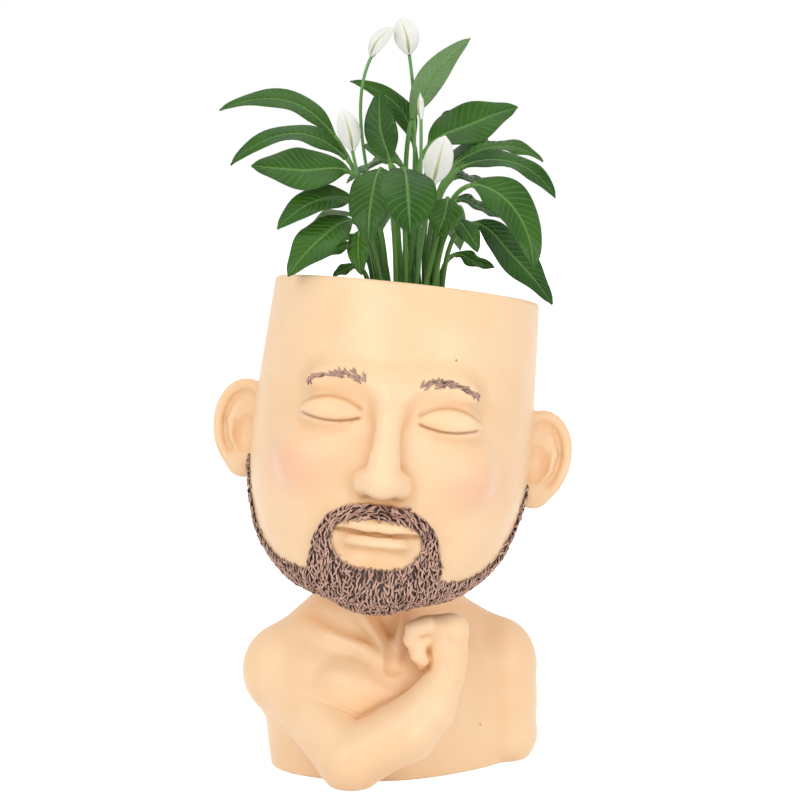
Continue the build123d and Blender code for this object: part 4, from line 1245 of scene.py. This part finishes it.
def sheet_part(line, face, half_width, thick, hollow, ripple, wave):
    """Closed sheet along a line, whose points know how far across and along it they lie.

    ripple is how often its panels rise along and across it and how high, and wave how high
    its margin swings, how often, and where it starts.
    """
    v = np.linspace(-1, 1, sheet_columns)[None]
    off = np.abs(v)
    half = half_width[:, None]
    along = unit(np.gradient(line, axis=0))
    across = unit(np.cross(face, along))
    up = unit(np.cross(along, across))
    s = np.linspace(0, 1, len(line))[:, None]
    far = np.concatenate([[0], np.cumsum(np.linalg.norm(np.diff(line, axis=0), axis=1))])[:, None]
    dip = -hollow * half * 2 * (1 - off**1.3)
    phase = far * ripple[0] - off * ripple[1]
    rise = ripple[2] * np.sin(2 * math.pi * phase) * off * (1 - off**6)
    edge = wave[0] * np.sin(s * wave[1] + np.sign(v) * 1.3 + wave[2])
    edge = edge * off**3 * np.sin(math.pi * s)
    height = dip + (rise + edge) * np.clip(half / 6, 0, 1)
    groove = 0.45 * np.exp(-((v * half / 0.9) ** 2))
    body = thick * (1 - 0.6 * off**4) * 0.5
    middle = line[:, None] + across[:, None] * (v * half)[..., None]
    top = middle + up[:, None] * (height + body - groove)[..., None]
    low = middle + up[:, None] * (height - body - groove * 0.9)[..., None]
    points = np.concatenate([top.reshape(-1, 3), low.reshape(-1, 3)])
    both = lambda grid: np.tile(np.broadcast_to(grid, height.shape).ravel(), 2)
    details = {"across": both(v), "along": both(far), "share": both(s)}
    details["under"] = np.repeat([0.0, 1.0], height.size)
    return points, sheet_faces(*height.shape), details


def sheet_faces(rows, columns):
    """Faces of a closed sheet: upper grid, lower grid and the margin between them."""
    ids = np.arange(rows * columns).reshape(rows, columns)
    low = ids + rows * columns
    a, b, c, d = ids[:-1, :-1], ids[:-1, 1:], ids[1:, 1:], ids[1:, :-1]
    upper = np.stack([a, b, c, d], -1).reshape(-1, 4)
    a, b, c, d = low[:-1, :-1], low[:-1, 1:], low[1:, 1:], low[1:, :-1]
    lower = np.stack([a, d, c, b], -1).reshape(-1, 4)
    ring = np.concatenate([ids[0, :-1], ids[:-1, -1], ids[-1, :0:-1], ids[:0:-1, 0]])
    under = ring + rows * columns
    margin = np.stack([ring, under, np.roll(under, -1), np.roll(ring, -1)], 1)
    return np.concatenate([upper, lower, margin])


def join(parts):
    """Several parts, each of points, faces and attributes, as one."""
    starts = np.cumsum([0] + [len(points) for points, _, _ in parts])
    faces = [ids + start for (_, ids, _), start in zip(parts, starts)]
    details = {key: np.concatenate([part[2][key] for part in parts]) for key in parts[0][2]}
    return np.concatenate([part[0] for part in parts]), np.concatenate(faces), details


def stem_part(line, radius, sides=10):
    """Round stem along a line, as a part with the leaf's attributes."""
    size = np.broadcast_to(radius, (len(line),))
    points, faces, _ = tubes(line[None], size[None], sides)
    one, none = np.ones(len(points)), np.zeros(len(points))
    details = {"across": one * 0.5, "along": none, "under": none, "stem": one, "share": none}
    return points, faces, details


def plant_places(row):
    """Root, base, middle and tip, the way the upper face looks and the width."""
    x, y = np.array(row[0]) / 100 * crown_radius
    root = to_row(np.array([[x, y, soil_z]]))[0]
    base, middle, tip = (plant_point(share) for share in row[1:4])
    return root, base, middle, tip, np.array(row[5], float), row[4] / 100 * plant_reach


# How deep a blade is hollowed across, as a share of its width, and how far its keel runs.
leaf_hollow, spathe_hollow = 0.055, -0.14
keel_share = 0.72
wide_leaf, short_leaf = 20, 22


def make_leaf(number, row):
    """One leaf: its blade with a sunk midrib and raised panels between veins, and its stem."""
    root, base, middle, tip, face, widest = plant_places(row)
    end = unit(unit(middle - base) * 0.6 + unit(base - root) * 0.4)
    stem = stem_line(root, base, end, stem_rings)
    blade = blade_line(base, middle, tip, end, blade_rows)
    t = np.linspace(0, 1, len(blade))
    half = outline_width(t, blade_outline, stem_width / widest, 0.04) * widest / 2
    length = np.linalg.norm(np.diff(blade, axis=0), axis=1).sum()
    wave = (rng.uniform(0.7, 1.6), rng.uniform(9, 14), rng.uniform(0, 6))
    ripple = (0.30, 2.4 * min(1.0, widest / wide_leaf), 0.38)
    sheet = sheet_part(blade, face, half, leaf_thickness, leaf_hollow, ripple, wave)
    sheet[2]["stem"] = np.clip(1 - sheet[2]["share"] * 14, 0, 1)
    shaft = stem_part(stem, np.linspace(stem_width / 2, stem_width * 0.46, len(stem)))
    along = unit(np.gradient(blade, axis=0))
    up = unit(np.cross(along, unit(np.cross(face, along))))
    sunk = blade - up * (leaf_hollow * 2 * half + leaf_thickness * 0.75)[:, None]
    sunk = sunk[: int(len(blade) * keel_share)]
    keel = stem_part(sunk, np.linspace(stem_width * 0.44, 0.25, len(sunk)), 8)
    keel[2]["under"] = np.ones(len(keel[0]))
    keel[2]["stem"] = np.full(len(keel[0]), 0.6)
    points, faces, details = join([sheet, shaft, keel])
    young = rng.uniform(0, 0.35) + (0.35 if length < short_leaf else 0)
    details["young"] = np.full(len(points), young)
    name = f"leaf_{number:02d}"
    piece = mesh_piece(f"{name}_blade", points, faces, "potted_plant", leaf_green, details)
    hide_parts(name)


def make_bud(number, base, middle, tip, heading, widest):
    """Closed spathe, rolled round its spadix."""
    rows, sides = 30, 14
    line = blade_line(base, middle, tip, heading, rows) + heading * seat_gap
    t = np.linspace(0, 1, rows)
    size = widest / 2 * (0.42 + 0.58 * np.sin(math.pi * np.clip(t * 0.9 + 0.08, 0, 1)))
    size = size * np.clip((1 - t) * 4, 0.10, 1)
    points, faces, _ = tubes(line[None], size[None], sides)
    turn = np.concatenate([np.tile(np.linspace(-1, 1, sides), rows), [0, 0]])
    details = {"across": turn, "share": np.concatenate([np.repeat(t, sides), [0, 1]])}
    name = f"flower_{number}_bud"
    piece = mesh_piece(name, points, faces, "potted_plant", petal_white, details)
    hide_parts(f"flower_{number}_spathe")


def make_flower(number, row, bud=False):
    """Stalk, spathe with its back to the front, and the spadix inside it."""
    root, base, middle, tip, face, widest = plant_places(row)
    heading = unit(middle - base)
    stalk = stem_line(root, base, heading, stalk_rings)
    size = np.linspace(stalk_width / 2, stalk_width * 0.46, len(stalk))
    points, faces, details = stem_part(stalk, size)
    details = {"stem": details["stem"]}
    name = f"flower_{number}_stem"
    piece = mesh_piece(name, points, faces, "potted_plant", stalk_green, details)
    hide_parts(f"flower_{number}_stalk")
    if bud:
        make_bud(number, base, middle, tip, heading, widest)
        return
    across = unit(np.cross(face, heading))
    outward = unit(np.cross(heading, across))
    ahead = outward * (spadix_radius + spathe_thickness / 2 + seat_gap)
    blade = blade_line(base + ahead, middle + ahead, tip + ahead, heading, petal_rows)
    t = np.linspace(0, 1, len(blade))
    half = outline_width(t, spathe_outline, 0.22, 0.08) * widest / 2
    wave = (0.4, 7.0, rng.uniform(0, 6))
    still = (0.0, 0.0, 0.0)
    points, faces, details = sheet_part(
        blade, face, half, spathe_thickness, spathe_hollow, still, wave
    )
    details = {"across": details["across"], "share": details["share"]}
    name = f"flower_{number}_petal"
    piece = mesh_piece(name, points, faces, "potted_plant", petal_white, details)
    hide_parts(f"flower_{number}_spathe")
    make_spadix(number, base + heading * seat_gap, heading)


def make_spadix(number, start, heading):
    """Small spike with rows of raised florets."""
    rows, sides = 60, 36
    t = np.linspace(0, 1, rows)
    angle = np.linspace(0, 2 * math.pi, sides, endpoint=False)
    length = spadix_length + spadix_radius
    profile = spadix_radius * np.sqrt(np.clip(1 - np.clip((t - 0.86) / 0.14, 0, 1) ** 2, 0.02, 1))
    turns = angle[None] * 8 / 2 + t[:, None] * 40
    bumps = np.abs(np.sin(turns) * np.sin(t[:, None] * 62))
    radius = profile[:, None] * (0.88 + 0.12 * bumps)
    side = unit(np.cross(heading, (0.2, 1, 0.1)))
    other = np.cross(heading, side)
    ring = np.cos(angle)[:, None] * side + np.sin(angle)[:, None] * other
    points = start + (t * length)[:, None, None] * heading + ring[None] * radius[..., None]
    points = np.concatenate([points.reshape(-1, 3), [start, start + heading * length]])
    foot = cap_faces(0, sides, rows * sides)[:, [2, 1, 0, 3]]
    tip = cap_faces((rows - 1) * sides, sides, rows * sides + 1)
    faces = np.concatenate([ring_faces(rows, sides), foot, tip])
    crest = np.concatenate([bumps.ravel(), [0, 1]])
    name = f"flower_{number}_spike"
    piece = mesh_piece(name, points, faces, "potted_plant", spike_pale, {"crest": crest})
    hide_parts(f"flower_{number}_spadix")


def make_soil():
    """Crumbly soil surface in the pot, over the plain plug of soil below it."""
    bowl_z = head_height - bowl_depth
    floor_z = bowl_z + seat_gap + pot_foot + pot_floor + seat_gap
    floor_radius = half_head * rim_share - wall - bowl_draft - pot_wall_at_soil
    side = lambda z: floor_radius + bowl_draft * (z - bowl_z) / bowl_depth
    rings, sides = 44, 150
    r = np.linspace(0, 1, rings) ** 0.9
    angle = np.linspace(0, 2 * math.pi, sides, endpoint=False)
    top_radius = side(soil_z)
    x = r[:, None] * np.cos(angle) * top_radius
    y = r[:, None] * np.sin(angle) * top_radius
    height = np.zeros_like(x)
    for _ in range(soil_crumbs):
        a, d = rng.uniform(0, 2 * math.pi), math.sqrt(rng.uniform(0, 1)) * (top_radius - 2)
        size, tall = rng.uniform(1.2, 4.2), rng.uniform(0.3, 1.5)
        gap = ((x - d * math.cos(a)) ** 2 + (y - d * math.sin(a)) ** 2) / size**2
        height = np.maximum(height, tall * np.sqrt(np.clip(1 - gap, 0, 1)))
    z = soil_z - 1.0 + height * (1 - r[:, None] ** 12)
    top = np.stack([x, y, z], -1).reshape(-1, 3)
    low_radius = side(floor_z)
    low = [np.cos(angle) * low_radius, np.sin(angle) * low_radius, np.full(sides, floor_z)]
    points = np.concatenate([top, np.stack(low, 1), [[0, 0, floor_z]]])
    around = ring_faces(rings + 1, sides)[:, [0, 3, 2, 1]]
    under = cap_faces(rings * sides, sides, (rings + 1) * sides)[:, ::-1]
    faces = np.concatenate([around, under])
    piece = mesh_piece("soil_crumb", to_row(points), faces, "potted_plant", soil_brown)
    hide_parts("soil")


def dress_node(name, material):
    """A node of the frame keeps its shape and gets its finish."""
    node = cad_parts[name]
    node.data.materials.clear()
    node.data.materials.append(material)


# Lamps: place and size in metres, power in watts; and how bright the white world is.
floor_reach = 6.0
lamp_target = (0, 0, 0.17)
lamps = [
    ("key", (-0.80, -1.35, 1.00), (0.9, 0.9), 7.5),
    ("fill", (0.85, -1.30, 0.16), (1.1, 0.8), 7.6),
    ("top", (0.0, 0.1, 1.5), (1.0, 1.0), 3),
]
world_light = 0.73

# The photograph is 800 pixels square, and 373 mm wide at the object.
photo_size_px = 800
photo_focal_px = 2359.25
camera_place = (0.0, -1.0929, 0.2965)
camera_target = (0.0, 0.0, 0.172)


def aim(thing, place, target):
    """Puts a lamp or camera at a place, looking at a target."""
    thing.location = place
    turn = (Vector(target) - Vector(place)).to_track_quat("-Z", "Y")
    thing.rotation_euler = turn.to_euler()
    bpy.context.scene.collection.objects.link(thing)


def make_stage():
    """Pale floor, plain soft light and the camera at the photograph's angle."""
    mesh = bpy.data.meshes.new("floor")
    sides = [(-1, -1), (1, -1), (1, 1), (-1, 1)]
    mesh.from_pydata([(x * floor_reach, y * floor_reach, 0) for x, y in sides], [], [(0, 1, 2, 3)])
    mesh.materials.append(floor_material())
    floor = bpy.data.objects.new("floor", mesh)
    bpy.context.scene.collection.objects.link(floor)
    for name, place, size, power in lamps:
        data = bpy.data.lights.new(name, "AREA")
        data.shape = "RECTANGLE"
        data.size, data.size_y = size
        data.energy = power
        aim(bpy.data.objects.new(name, data), place, lamp_target)
    world = Shader("studio", bpy.data.worlds, "Background")
    strength = world.ramp(world.seen(), 0.0, 1.0, world_light)
    world.set(sky=rgb(1, 1, 1), sky_strength=strength)
    bpy.context.scene.world = world.material
    lens = bpy.data.cameras.new("camera")
    lens.sensor_width = 36.0
    lens.lens = photo_focal_px / photo_size_px * lens.sensor_width
    camera = bpy.data.objects.new("camera", lens)
    aim(camera, camera_place, camera_target)
    bpy.context.scene.camera = camera
    bpy.context.scene.view_settings.view_transform = "Standard"


head_points = make_head()
make_bust()
make_beard(head_points)
make_brows()
for number, row in enumerate(leaf_shares, start=1):
    make_leaf(number, row)
for number, row in enumerate([*flower_shares, bud_shares], start=1):
    make_flower(number, row, bud=row is bud_shares)
make_soil()
dress_node("nursery_pot", pot_black)
dress_node("drain_plug", plug_black)
make_stage()
